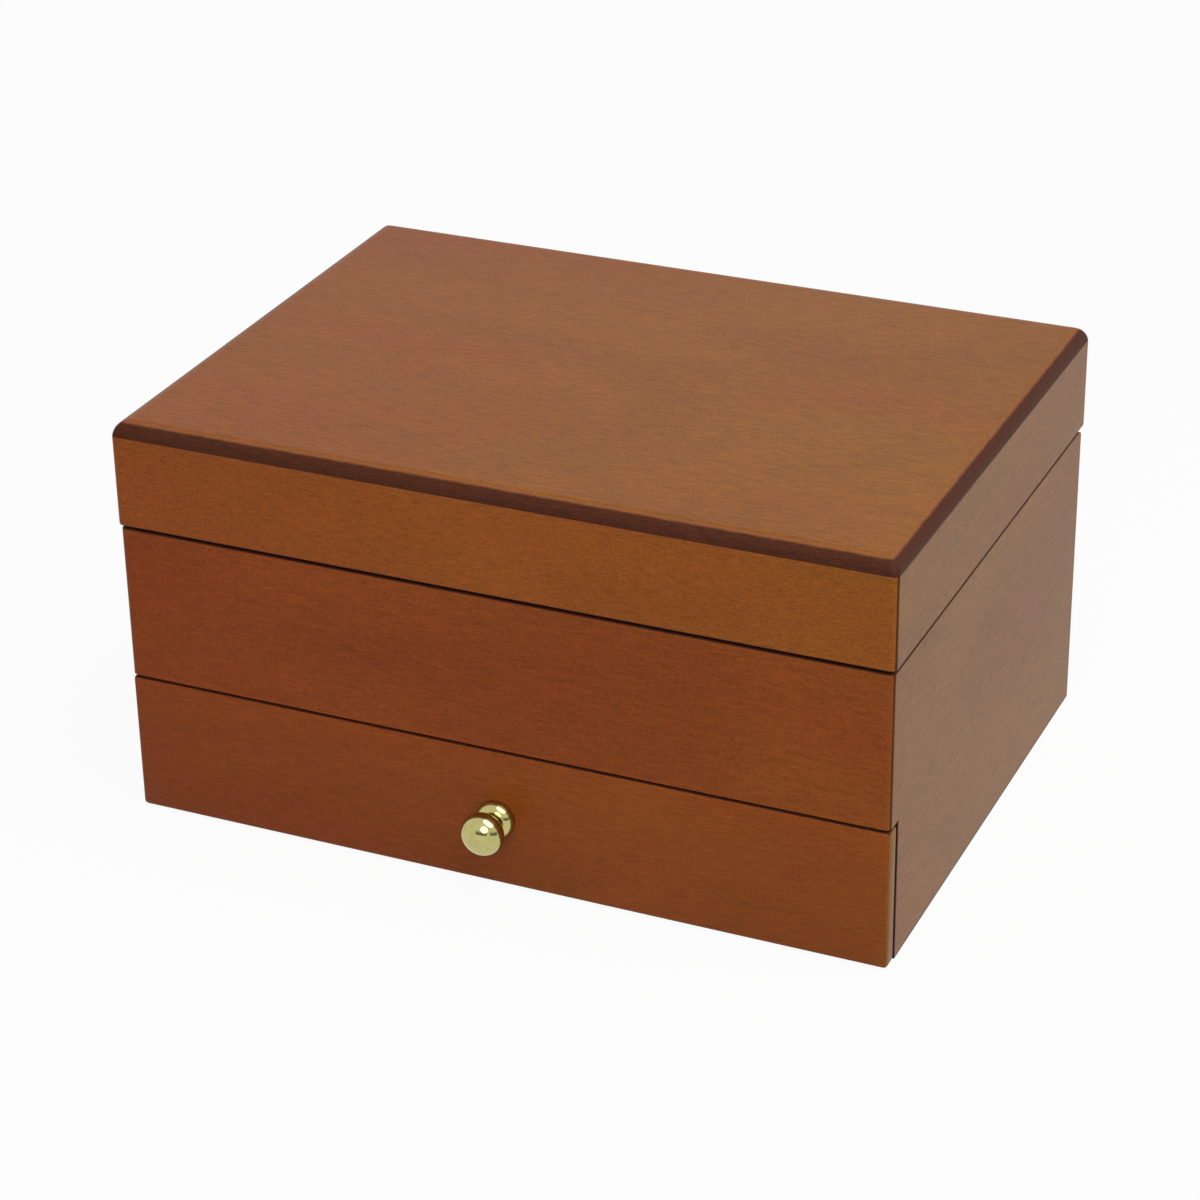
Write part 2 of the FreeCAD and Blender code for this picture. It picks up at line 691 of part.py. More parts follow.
def buildKnob():
    """A turned knob, a flattened ball on a domed flange, and the screw that holds it."""
    knob = doc.addObject("PartDesign::Body", "drawer_knob")
    bore = "knobScrewRadius + screwFit"
    spin(knob, "knob_turning", "YZ_Plane", [
        ("0", bore),
        ("0", "knobFlangeRadius - knobFlangeReach", "knobFlangeReach"),
        ("-knobFlangeReach", "knobFlangeRadius", "knobDome"),
        ("-knobNeckReach", "knobNeckRadius"),
        ("-(ballStart)", "knobNeckRadius", "ballFace"),
        ("-(knobBallReach - ballTurnReach)", "ballTurnRadius", "knobBallSide"),
        ("-(knobBallReach + ballTurnReach)", "ballTurnRadius", "ballFace"),
        ("-(knobTip)", "0"),
        ("-knobBore", "0"),
        ("-knobBore", bore)])
    place(knob, "0", "-halfDepth", "knobZ", upright)
    subPart("drawer_knob", knob)

    head = rod("knob_screw_head", "0", "knobScrewHeadSeat", "knobZ", "knobScrewHeadRadius",
               "knobScrewHeadHeight", alongY)
    shank = rod("knob_screw_shank", "0", "-halfDepth - knobScrewGrip", "knobZ",
                "knobScrewRadius", "knobScrewHeadSeat + halfDepth + knobScrewGrip", alongY)
    slot = block("knob_screw_slot", span("knobScrewHeadRadius"),
                 ("knobScrewHeadTop - slotDepth", f"knobScrewHeadTop + {OVER}"),
                 ("knobZ - slotWidth / 2", "knobZ + slotWidth / 2"))
    subPart("knob_screw", cut("knob_screw", fuse("knob_screw_blank", [head, shank]), [slot]))


# ---------------------------------------------------------------- build, test and write

def test():
    """Stop on any failed feature or sub-part before anything is written."""
    for item in doc.Objects:
        if "Invalid" in item.State or "Error" in item.State:
            raise RuntimeError(f"{item.Label} is {item.State}")
    for item in subParts:
        if item.Shape.isNull() or not item.Shape.isValid() or not item.Shape.Solids:
            raise RuntimeError(f"{item.Label} has no valid shape")
    labels = [item.Label for item in subParts]
    if len(set(labels)) != len(labels):
        raise RuntimeError("two sub-parts share a name")


def write():
    os.makedirs("parts", exist_ok=True)
    for item in subParts:
        item.Shape.exportStep(os.path.join("parts", item.Label + ".step"))
        box = item.Shape.BoundBox
        print(f"{item.Label:26s} solids {len(item.Shape.Solids)}  volume {item.Shape.Volume:10.1f}"
              f"  x {box.XMin:7.2f} {box.XMax:7.2f}  y {box.YMin:7.2f} {box.YMax:7.2f}"
              f"  z {box.ZMin:7.2f} {box.ZMax:7.2f}")


buildCase()
buildHinges()
buildTray()
buildLid()
buildDrawer()
buildKnob()
doc.recompute()
test()
write()
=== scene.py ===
import math

import bmesh
import bpy
from mathutils import Matrix, Vector, noise


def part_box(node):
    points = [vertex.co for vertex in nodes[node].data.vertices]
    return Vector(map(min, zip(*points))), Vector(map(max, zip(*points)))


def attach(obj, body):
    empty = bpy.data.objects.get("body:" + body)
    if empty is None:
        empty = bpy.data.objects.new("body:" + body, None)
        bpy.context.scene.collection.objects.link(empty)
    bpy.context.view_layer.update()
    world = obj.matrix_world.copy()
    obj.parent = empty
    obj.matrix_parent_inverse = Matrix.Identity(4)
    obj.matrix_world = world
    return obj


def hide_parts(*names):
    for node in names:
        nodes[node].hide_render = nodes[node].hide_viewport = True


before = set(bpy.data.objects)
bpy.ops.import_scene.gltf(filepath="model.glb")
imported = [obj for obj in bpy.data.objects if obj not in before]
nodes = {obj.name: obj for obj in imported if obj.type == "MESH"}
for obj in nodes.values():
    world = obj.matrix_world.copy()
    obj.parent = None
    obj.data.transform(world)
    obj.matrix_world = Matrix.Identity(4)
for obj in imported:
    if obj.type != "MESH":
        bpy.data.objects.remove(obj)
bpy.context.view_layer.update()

caseLow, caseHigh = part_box("case_left_side")[0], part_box("case_right_side")[1]
lidLow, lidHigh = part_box("lid_left_rail")[0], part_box("lid_right_rail")[1]
mm = 0.001  # the frame is in metres, sizes below are in millimetres
print("frame loaded,", len(nodes), "nodes")


# Camera, from the front right and a little above

cameraView = {
    "azimuth": 24.213,  # degrees round the box from straight in front
    "elevation": 27.238,
    "roll": -0.913,
    "distance": 879.321,
    "target": (-4.349, 0.0, 43.181),
    "lens": 103.05,
    "sensor": 36.0,
}


def addCamera(values):
    azimuth = math.radians(values["azimuth"])
    elevation = math.radians(values["elevation"])
    level = math.cos(elevation)
    back = Vector((math.sin(azimuth) * level, -math.cos(azimuth) * level, math.sin(elevation)))
    lens = bpy.data.cameras.new("photoCamera")
    lens.lens = values["lens"]
    lens.sensor_width = values["sensor"]
    camera = bpy.data.objects.new("photoCamera", lens)
    bpy.context.scene.collection.objects.link(camera)
    camera.location = (Vector(values["target"]) + back * values["distance"]) * mm
    facing = back.to_track_quat("Z", "Y").to_matrix()
    roll = Matrix.Rotation(math.radians(values["roll"]), 3, "Z")
    camera.rotation_euler = (facing @ roll).to_euler()
    bpy.context.scene.camera = camera


addCamera(cameraView)
print("camera placed")


# Node helpers

floatSocket, vectorSocket = "NodeSocketFloat", "NodeSocketVector"


def fill(tree, sockets, values):
    # a value that is another node's socket is linked, any other is a constant
    for name, value in values.items():
        if isinstance(value, bpy.types.NodeSocket):
            tree.links.new(value, sockets[name])
        else:
            sockets[name].default_value = value


def addNode(tree, kind, inputs=None, **settings):
    node = tree.nodes.new(kind)
    for name, value in settings.items():
        setattr(node, name, value)
    fill(tree, node.inputs, inputs or {})
    return node


def result(tree, kind, inputs=None, **settings):
    return addNode(tree, kind, inputs, **settings).outputs[0]


def maths(tree, operation, first, second=0.0, clamp=False):
    return result(tree, "ShaderNodeMath", {0: first, 1: second}, operation=operation, use_clamp=clamp)


def plus(tree, first, second, clamp=False):
    return maths(tree, "ADD", first, second, clamp)


def minus(tree, first, second, clamp=False):
    return maths(tree, "SUBTRACT", first, second, clamp)


def times(tree, first, second):
    return maths(tree, "MULTIPLY", first, second)


def vectorMaths(tree, operation, first, second=(0.0, 0.0, 0.0)):
    return result(tree, "ShaderNodeVectorMath", {0: first, 1: second}, operation=operation)


def inSteps(tree, vector, size):
    # the vector counted in steps of this size
    inputs = {0: vector, "Scale": maths(tree, "DIVIDE", 1.0, size)}
    return result(tree, "ShaderNodeVectorMath", inputs, operation="SCALE")


def combine(tree, x=0.0, y=0.0, z=0.0):
    return result(tree, "ShaderNodeCombineXYZ", {0: x, 1: y, 2: z})


def separate(tree, vector):
    return addNode(tree, "ShaderNodeSeparateXYZ", {0: vector}).outputs


def mixColours(tree, factor, first, second, blend="MIX"):
    inputs = {0: factor, 6: first, 7: second}
    return addNode(tree, "ShaderNodeMix", inputs, data_type="RGBA", blend_type=blend).outputs[2]


def remap(tree, value, low, high, newLow=0.0, newHigh=1.0, smooth=False):
    inputs = {0: value, 1: low, 2: high, 3: newLow, 4: newHigh}
    kind = "SMOOTHSTEP" if smooth else "LINEAR"
    return result(tree, "ShaderNodeMapRange", inputs, interpolation_type=kind)


def stretchedNoise(tree, vector, stretch, detail=2.0, roughness=0.5, distortion=0.0):
    inputs = {
        "Vector": vectorMaths(tree, "MULTIPLY", vector, stretch),
        "Scale": 1.0,
        "Detail": detail,
        "Roughness": roughness,
        "Distortion": distortion,
    }
    return result(tree, "ShaderNodeTexNoise", inputs, noise_dimensions="3D")


def newGroup(name, inputs, outputs, kind="ShaderNodeTree"):
    tree = bpy.data.node_groups.new(name, kind)
    for socketName, socketType, value in inputs:
        socket = tree.interface.new_socket(name=socketName, in_out="INPUT", socket_type=socketType)
        if value is not None:
            socket.default_value = value
    for socketName, socketType in outputs:
        tree.interface.new_socket(name=socketName, in_out="OUTPUT", socket_type=socketType)
    return tree, tree.nodes.new("NodeGroupInput").outputs, tree.nodes.new("NodeGroupOutput").inputs


# Shader groups shared by the materials

grainShape = {
    "fibres": 4.2,  # to the millimetre
    "slower": 0.45,  # how much less the figure changes along the grain
    "mottle": (2.1, 2.6, 2.6),
    "used": (0.3, 0.7),  # the part of each noise that is used
    "fibreHeight": 0.6,
    "mottleHeight": 0.4,
}


def buildWoodGrain(values=grainShape):
    # the grain runs along X of the incoming millimetre vector
    tree, given, out = newGroup(
        "woodGrain",
        [("Vector", vectorSocket, None), ("Streak", floatSocket, 4.0), ("Figure size", floatSocket, 40.0)],
        [(name, floatSocket) for name in ("Figure", "Fibre", "Mottle", "Height")],
    )
    perFigure = maths(tree, "DIVIDE", 1.0, given["Figure size"])
    figureStretch = combine(tree, times(tree, perFigure, values["slower"]), perFigure, perFigure)
    figure = stretchedNoise(tree, given["Vector"], figureStretch, detail=3.0, distortion=0.6)
    alongFibre = maths(tree, "DIVIDE", 1.0, given["Streak"])
    fibreStretch = combine(tree, alongFibre, values["fibres"], values["fibres"])
    fibre = stretchedNoise(tree, given["Vector"], fibreStretch, roughness=0.6)
    mottle = stretchedNoise(tree, given["Vector"], values["mottle"], roughness=0.7)
    raised = times(tree, fibre, values["fibreHeight"])
    fill(tree, out, {
        "Figure": remap(tree, figure, *values["used"]),
        "Fibre": remap(tree, fibre, *values["used"]),
        "Mottle": remap(tree, mottle, *values["used"]),
        "Height": plus(tree, raised, times(tree, mottle, values["mottleHeight"])),
    })
    return tree


veneerSheet = {"Thickness": 0.075, "Softness": 0.06, "Rim reach": 4.0, "Rim line": 0.36, "Core depth": 1.6}
shellWear = {
    "waver": (0.4, 0.4, 0.25),
    "uneven": 0.6,  # of the thickness
    "rimPower": 0.5,
    "skin": 0.01,  # nothing is rubbed off this close to the outer face
    "rimSoftness": 0.06,
}


def buildVeneerShell(values=shellWear):
    # veneer covers the upright outer faces; it is sanded through on the rounded corners and stops at the
    # rims, where a band of dark core runs along each rim: partly the bare edge, partly painted shade that
    # widens the seams
    tree, given, out = newGroup(
        "veneerShell",
        [(name, vectorSocket, None) for name in ("Vector", "Low", "High")]
        + [(name, floatSocket, value) for name, value in veneerSheet.items()],
        [("Core", floatSocket), ("Inside", floatSocket)],
    )
    fromLow = vectorMaths(tree, "SUBTRACT", given["Vector"], given["Low"])
    fromHigh = vectorMaths(tree, "SUBTRACT", given["High"], given["Vector"])
    parts = separate(tree, vectorMaths(tree, "MINIMUM", fromLow, fromHigh))
    sideDepth = maths(tree, "MINIMUM", parts[0], parts[1])
    waver = stretchedNoise(tree, given["Vector"], values["waver"], detail=3.0, roughness=0.6)
    most = times(tree, given["Thickness"], values["uneven"])
    uneven = times(tree, minus(tree, waver, 0.5), most)
    nearRim = maths(tree, "DIVIDE", parts[2], given["Rim reach"], clamp=True)
    left = times(tree, given["Thickness"], maths(tree, "POWER", nearRim, values["rimPower"]))
    first = minus(tree, left, given["Softness"])
    last = plus(tree, left, given["Softness"])
    core = remap(tree, plus(tree, sideDepth, uneven), first, last, smooth=True)
    rubbedAndSeamShade = times(tree, core, maths(tree, "GREATER_THAN", sideDepth, values["skin"]))
    # painted shade: core colour in a band along each rim darkens and widens the seams
    fromRim = minus(tree, plus(tree, parts[2], uneven), given["Rim line"])
    soft = values["rimSoftness"]
    rubbedAndSeamShade = maths(tree, "MAXIMUM", rubbedAndSeamShade, remap(tree, fromRim, -soft, soft, 1.0, 0.0, smooth=True))
    inside = maths(tree, "GREATER_THAN", maths(tree, "MINIMUM", sideDepth, parts[2]), given["Core depth"])
    fill(tree, out, {"Core": minus(tree, rubbedAndSeamShade, inside, clamp=True), "Inside": inside})
    return tree


napShape = {
    "patches": (1.0, 1.7, 1.3),
    "fibres": (1.0, 1.0, 0.6),
    "brushed": (0.35, 0.65),
    "used": (0.3, 0.7),
}


def buildNap(values=napShape):
    # brushed patches and short fibres of a napped cloth
    tree, given, out = newGroup(
        "nap",
        [("Vector", vectorSocket, None), ("Patch", floatSocket, 14.0), ("Fibre", floatSocket, 0.35)],
        [(name, floatSocket) for name in ("Brushed", "Fibres", "Height")],
    )
    patchVector = inSteps(tree, given["Vector"], given["Patch"])
    patches = stretchedNoise(
        tree, patchVector, values["patches"], detail=3.0, roughness=0.6, distortion=0.8
    )
    fibreVector = inSteps(tree, given["Vector"], given["Fibre"])
    fibres = stretchedNoise(
        tree, fibreVector, values["fibres"], detail=3.0, roughness=0.7, distortion=0.4
    )
    brushed = remap(tree, patches, *values["brushed"])
    fill(tree, out, {"Brushed": brushed, "Fibres": remap(tree, fibres, *values["used"]), "Height": fibres})
    return tree


handledShape = {"scratches": (0.7, 9.0, 3.0), "haze": (0.35, 0.65), "scratched": (0.62, 0.72)}


def buildHandled(values=handledShape):
    # faint cloudiness and hair scratches of a polished surface
    tree, given, out = newGroup(
        "handled",
        [("Vector", vectorSocket, None), ("Cloud", floatSocket, 3.0)],
        [("Haze", floatSocket), ("Scratches", floatSocket)],
    )
    cloudVector = inSteps(tree, given["Vector"], given["Cloud"])
    cloud = stretchedNoise(tree, cloudVector, (1.0, 1.0, 1.0), detail=3.0, roughness=0.55)
    scratches = stretchedNoise(tree, given["Vector"], values["scratches"], distortion=1.2)
    haze = remap(tree, cloud, *values["haze"])
    fill(tree, out, {"Haze": haze, "Scratches": remap(tree, scratches, *values["scratched"])})
    return tree


groups = {
    "grain": buildWoodGrain(),
    "shell": buildVeneerShell(),
    "nap": buildNap(),
    "handled": buildHandled(),
}


def placeGroup(tree, name, inputs):
    return addNode(tree, "ShaderNodeGroup", inputs, node_tree=groups[name]).outputs


def newMaterial(name):
    material = bpy.data.materials.new(name)
    material.use_nodes = True
    tree = material.node_tree
    place = addNode(tree, "ShaderNodeTexCoord").outputs["Object"]
    inMillimetres = vectorMaths(tree, "MULTIPLY", place, (1 / mm,) * 3)
    return material, tree, tree.nodes["Principled BSDF"].inputs, inMillimetres


def bump(tree, height, strength, depth):
    return result(tree, "ShaderNodeBump", {"Height": height, "Strength": strength, "Distance": depth * mm})


# Stained veneer, with the dark core showing where the edges are sanded round, and as painted shade along the
# rims and behind the drawer front; some stains carry a painted sheen

wood = {
    "core": (0.061, 0.0155, 0.0058, 1.0),
    "inside": (0.15, 0.05, 0.018, 1.0),
    "refraction": 1.3,
    "specular": 0.25,
    "roughness": (0.32, 0.38),
    "bareRoughness": 0.2,  # added where no veneer is left
    "grainHeight": 0.014,
    "grainStrength": 0.6,
    "spread": 0.11,  # how far the figure goes from the stain's own colour
    "ruddy": 0.86,  # green of the redder patches
    "patches": (0.012, 0.03, 0.03),
    "patchRange": (0.4, 0.75),
    "drift": (0.90, 1.12),  # the stain's green at the left and the right end of the box
    "fibreShare": 0.45,
    "mottleShare": 0.55,
    "speckle": 0.42,
}


def veneer(name, stain, coverage, alongY=False, offset=(0.0, 0.0, 0.0), values=wood, ends=()):
    material, tree, shader, position = newMaterial(name)
    turn = (0, 0, math.radians(90.0) if alongY else 0.0)
    mapping = {"Vector": position, "Location": offset, "Rotation": turn}
    grainVector = result(tree, "ShaderNodeMapping", mapping)
    grain = placeGroup(tree, "grain", {"Vector": grainVector})
    core, inside = coverage(tree, position)
    spread = values["spread"]
    light = tuple(channel * (1 + spread) for channel in stain) + (1.0,)
    deep = tuple(channel * (1 - spread) for channel in stain) + (1.0,)
    ruddy = (stain[0], stain[1] * values["ruddy"], stain[2], 1.0)
    broad = mixColours(tree, grain["Figure"], light, deep)
    hue = stretchedNoise(tree, grainVector, values["patches"])
    tinted = mixColours(tree, remap(tree, hue, *values["patchRange"]), broad, ruddy)
    across = separate(tree, position)[0]
    for direction, reach, endStain in ends:
        beyond = maths(tree, "GREATER_THAN", times(tree, across, direction), reach)
        tinted = mixColours(tree, beyond, tinted, endStain + (1.0,))
    fibres = times(tree, grain["Fibre"], values["fibreShare"])
    fine = plus(tree, fibres, times(tree, grain["Mottle"], values["mottleShare"]))
    speckle = remap(tree, fine, 0.0, 1.0, 1 - values["speckle"], 1 + values["speckle"])
    drift = remap(tree, across, caseLow.x / mm, caseHigh.x / mm, *values["drift"])
    drifted = mixColours(tree, 1.0, tinted, combine(tree, 1.0, drift, 1.0), "MULTIPLY")
    speckled = mixColours(tree, 1.0, drifted, speckle, "MULTIPLY")
    # for the lid top this mask and colour are a painted sheen over the rolled edge; for other boards they
    # are the inner wood tone
    stainedAndSheen = mixColours(tree, inside, speckled, values["inside"])
    bareCore = mixColours(tree, 1.0, values["core"], speckle, "MULTIPLY")
    polish = remap(tree, grain["Mottle"], 0.0, 1.0, *values["roughness"])
    bare = times(tree, plus(tree, inside, core, clamp=True), values["bareRoughness"])
    fill(tree, shader, {
        "Base Color": mixColours(tree, core, stainedAndSheen, bareCore),
        "Roughness": plus(tree, polish, bare),
        "IOR": values["refraction"],
        "Specular IOR Level": values["specular"],
        "Normal": bump(tree, grain["Height"], values["grainStrength"], values["grainHeight"]),
    })
    return material


def upright(corners, **values):
    # coverage of boards that stand: see veneerShell
    def masks(tree, position):
        low, high = (tuple(value / mm for value in corner) for corner in corners)
        shell = placeGroup(tree, "shell", {"Vector": position, "Low": low, "High": high, **values})
        return shell["Core"], shell["Inside"]
    return masks


topSheet = {
    "thickness": 0.56,
    "waver": 0.25,
    "uneven": 0.3,
    "softness": (0.3, 0.14),  # above and below the line where the veneer ends
    "rolled": (0.02, 0.3),
    "paler": 0.75,
}


def topFace(height, values=topSheet):
    # coverage of the lid's top board: veneer on its upper face only, and a painted sheen where the top rolls
    # over its edges
    def masks(tree, position):
        down = minus(tree, height / mm, separate(tree, position)[2])
        waver = stretchedNoise(tree, position, (values["waver"],) * 3, detail=3.0, roughness=0.6)
        most = times(tree, minus(tree, waver, 0.5), values["uneven"])
        above, below = values["softness"]
        thickness = values["thickness"]
        depth = plus(tree, down, most)
        core = remap(tree, depth, thickness - above, thickness + below, smooth=True)
        # the second mask lays the paler colour over the roll-over: painted sheen
        return core, remap(tree, down, *values["rolled"], 0.0, values["paler"], smooth=True)
    return masks


# painted shade of the gap behind the drawer front: how far back the core colour reaches, and how far above
# the cut
notchShadow = {"bare": (0.75, 0.95), "above": 0.6}


def notchedWithShadow(corners, cut):
    # boards that stand, with core colour along the edge cut back behind the drawer front: partly the bare
    # cut edge, partly painted shade of the gap there
    def masks(tree, position):
        core, inside = upright(corners)(tree, position)
        parts = separate(tree, position)
        behind = minus(tree, parts[1], cut.y / mm)
        # painted shade: the dark line of the gap behind the drawer front, drawn on the side board
        line = remap(tree, behind, *notchShadow["bare"], 1.0, 0.0, smooth=True)
        below = maths(tree, "LESS_THAN", parts[2], cut.z / mm + notchShadow["above"])
        return maths(tree, "MAXIMUM", core, times(tree, line, below)), inside
    return masks


plainWood = {
    "grain": {"Streak": 9.0, "Figure size": 16.0},
    "light": (0.30, 0.125, 0.045, 1.0),
    "deep": (0.19, 0.068, 0.022, 1.0),
    "speckle": (0.82, 1.1),
    "roughness": (0.48, 0.6),
    "grainStrength": 0.8,
    "grainHeight": 0.03,
}


def innerWood(values=plainWood):
    material, tree, shader, position = newMaterial("innerWood")
    grain = placeGroup(tree, "grain", {"Vector": position, **values["grain"]})
    broad = mixColours(tree, grain["Figure"], values["light"], values["deep"])
    speckle = remap(tree, grain["Fibre"], 0.0, 1.0, *values["speckle"])
    fill(tree, shader, {
        "Base Color": mixColours(tree, 1.0, broad, speckle, "MULTIPLY"),
        "Roughness": remap(tree, grain["Mottle"], 0.0, 1.0, *values["roughness"]),
        "Specular IOR Level": wood["specular"],
        "Normal": bump(tree, grain["Height"], values["grainStrength"], values["grainHeight"]),
    })
    return material


# Metals, mirror and cloth

metal = {"deeper": 0.86, "hazed": 1.6, "scratched": 0.08, "cloud": 3.0}


def brass(name, colour, roughness, values=metal):
    material, tree, shader, position = newMaterial(name)
    marks = placeGroup(tree, "handled", {"Vector": position, "Cloud": values["cloud"]})
    deeper = tuple(channel * values["deeper"] for channel in colour[:3]) + (1.0,)
    hazed = remap(tree, marks["Haze"], 0.0, 1.0, roughness, roughness * values["hazed"])
    fill(tree, shader, {
        "Base Color": mixColours(tree, marks["Haze"], colour, deeper),
        "Roughness": plus(tree, hazed, times(tree, marks["Scratches"], values["scratched"])),
        "Metallic": 1.0,
    })
    return material


silver = {
    "clear": (0.90, 0.92, 0.91, 1.0),
    "hazed": (0.86, 0.89, 0.88, 1.0),
    "roughness": (0.012, 0.03),
    "cloud": 22.0,
}


def silvering(values=silver):
    material, tree, shader, position = newMaterial("silvering")
    marks = placeGroup(tree, "handled", {"Vector": position, "Cloud": values["cloud"]})
    fill(tree, shader, {
        "Base Color": mixColours(tree, marks["Haze"], values["clear"], values["hazed"]),
        "Roughness": remap(tree, marks["Scratches"], 0.0, 1.0, *values["roughness"]),
        "Metallic": 1.0,
    })
    return material


cloth = {
    "brushed": (0.15, 0.85),
    "shade": (0.84, 1.08),
    "roughness": (0.82, 0.98),
    "specular": 0.15,
    "fuzz": 0.35,
    "fuzzRoughness": 0.4,
    "napStrength": 0.7,
}


def nappedCloth(name, light, dark, patch=14.0, fibre=0.35, height=0.12, values=cloth):
    material, tree, shader, position = newMaterial(name)
    nap = placeGroup(tree, "nap", {"Vector": position, "Patch": patch, "Fibre": fibre})
    brushed = mixColours(tree, remap(tree, nap["Brushed"], 0.0, 1.0, *values["brushed"]), light, dark)
    shade = remap(tree, nap["Fibres"], 0.0, 1.0, *values["shade"])
    fill(tree, shader, {
        "Base Color": mixColours(tree, 1.0, brushed, shade, "MULTIPLY"),
        "Roughness": remap(tree, nap["Fibres"], 0.0, 1.0, *values["roughness"]),
        "Specular IOR Level": values["specular"],
        "Sheen Weight": values["fuzz"],
        "Sheen Roughness": values["fuzzRoughness"],
        "Normal": bump(tree, nap["Height"], values["napStrength"], height),
    })
    return material


stainsAndSheen = {
    "top": (0.230, 0.0705, 0.0070),
    "lid": (0.268, 0.0735, 0.0100),
    "body": (0.234, 0.0525, 0.0075),
    "drawer": (0.232, 0.0545, 0.0078),
    # the right sides' stain is paler and greener than the fronts': partly the veneer's own tone, partly
    # painted sheen
    "side": (0.226, 0.0790, 0.0088),
    "farSide": (0.231, 0.0740, 0.0082),  # the left sides are redder, without the painted sheen that the right sides' stain carries
}
sheeny = {**wood, "speckle": 0.7}  # top and sides, where the gloss covers part of the grain
topRollSheen = {**sheeny, "inside": (0.24, 0.09, 0.036, 1.0)}  # a paler, greyer colour where the top rolls over: painted sheen
# the drawer front's rim band is narrower: bare edge and painted seam shade
drawerSheet = {"Thickness": 0.4, "Rim reach": 1.2, "Rim line": 0.08}
endGrain = 0.3  # depth of the stain on the drawer front's ends

lidShell = upright((lidLow, lidHigh))
drawerLow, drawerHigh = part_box("drawer_front")
# the case sides' coverage includes the painted shade behind the drawer front
caseSideShell = notchedWithShadow((caseLow, caseHigh), drawerHigh)
# the drawer front's ends take the sides' stains; the right end's carries the painted sheen
drawerEnds = (
    (-1.0, -drawerLow.x / mm - endGrain, stainsAndSheen["farSide"]),
    (1.0, drawerHigh.x / mm - endGrain, stainsAndSheen["side"]),
)
side = {"alongY": True, "values": sheeny}
sheets = (
    ("CaseFront", "body", upright((caseLow, caseHigh)), {}),
    ("CaseSide", "side", caseSideShell, {**side, "offset": (31.0, 12.0, 7.0)}),
    ("CaseFarSide", "farSide", caseSideShell, {**side, "offset": (52.0, 40.0, 18.0)}),
    ("LidFront", "lid", lidShell, {"offset": (140.0, 60.0, 33.0)}),
    ("LidSide", "side", lidShell, {**side, "offset": (71.0, 25.0, 90.0)}),
    ("LidFarSide", "farSide", lidShell, {**side, "offset": (96.0, 61.0, 44.0)}),
    (
        "LidTop", "top", topFace(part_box("lid_top_panel")[1].z),
        {"offset": (220.0, 15.0, 50.0), "values": topRollSheen},
    ),
    (
        "DrawerFront", "drawer", upright((drawerLow, drawerHigh), **drawerSheet),
        {"offset": (310.0, 44.0, 21.0), "ends": drawerEnds},
    ),
)
materials = {}
for name, stain, coverage, look in sheets:
    materials[name[0].lower() + name[1:]] = veneer(f"veneer{name}", stainsAndSheen[stain], coverage, **look)
materials |= {
    "innerWood": innerWood(),
    "suede": nappedCloth("suede", (0.72, 0.62, 0.46, 1.0), (0.58, 0.48, 0.34, 1.0)),
    "felt": nappedCloth(
        "felt", (0.045, 0.024, 0.015, 1.0), (0.03, 0.016, 0.01, 1.0), patch=5.0, fibre=0.5, height=0.25
    ),
    "knobBrass": brass("knobBrass", (0.52, 0.475, 0.19, 1.0), 0.05),
    "hingeBrass": brass("hingeBrass", (0.62, 0.43, 0.13, 1.0), 0.14),
    "screwBrass": brass("screwBrass", (0.58, 0.42, 0.15, 1.0), 0.18),
    "mirror": silvering(),
}

finishOfNode = {
    "case_front": "caseFront",
    "case_back": "caseFront",
    "case_left_side": "caseFarSide",
    "case_right_side": "caseSide",
    "lid_front_rail": "lidFront",
    "lid_back_rail": "lidFront",
    "lid_left_rail": "lidFarSide",
    "lid_right_rail": "lidSide",
    "lid_top_panel": "lidTop",
    "drawer_front": "drawerFront",
}


def camel(name):
    first, *others = name.split("_")
    return first + "".join(word.capitalize() for word in others)


packedSlots = {}
for name, node in nodes.items():
    packedSlots[name] = node.material_slots[0].material.name
    finish = finishOfNode.get(name) or camel(packedSlots[name])
    node.material_slots[0].material = materials[finish]
print("materials made,", len(materials))


# Meshes

slab = {
    "shares": (0.0, 0.25, 0.55, 1.0),  # of the round, where the grid has its lines
    "fullest": 0.49,  # most of a thin slab that one edge may round off
    "weld": 0.01,
}
tiny = 1e-6


def addPiece(name, mesh, material, body, node):
    piece = bpy.data.objects.new(name, mesh)
    bpy.context.scene.collection.objects.link(piece)
    mesh.materials.clear()
    mesh.materials.append(materials[material])
    for polygon in mesh.polygons:
        polygon.use_smooth = True
    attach(piece, body)
    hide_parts(node)
    return piece


def steps(low, high, radius, spacing):
    # places along one edge of a slab, closer together where the edge is round
    ends = [radius * share for share in slab["shares"]]
    count = max(1, round((high - low - 2 * radius) / spacing))
    middle = [low + radius + (high - low - 2 * radius) * i / count for i in range(1, count)]
    return [low + end for end in ends] + middle + [high - end for end in reversed(ends)]


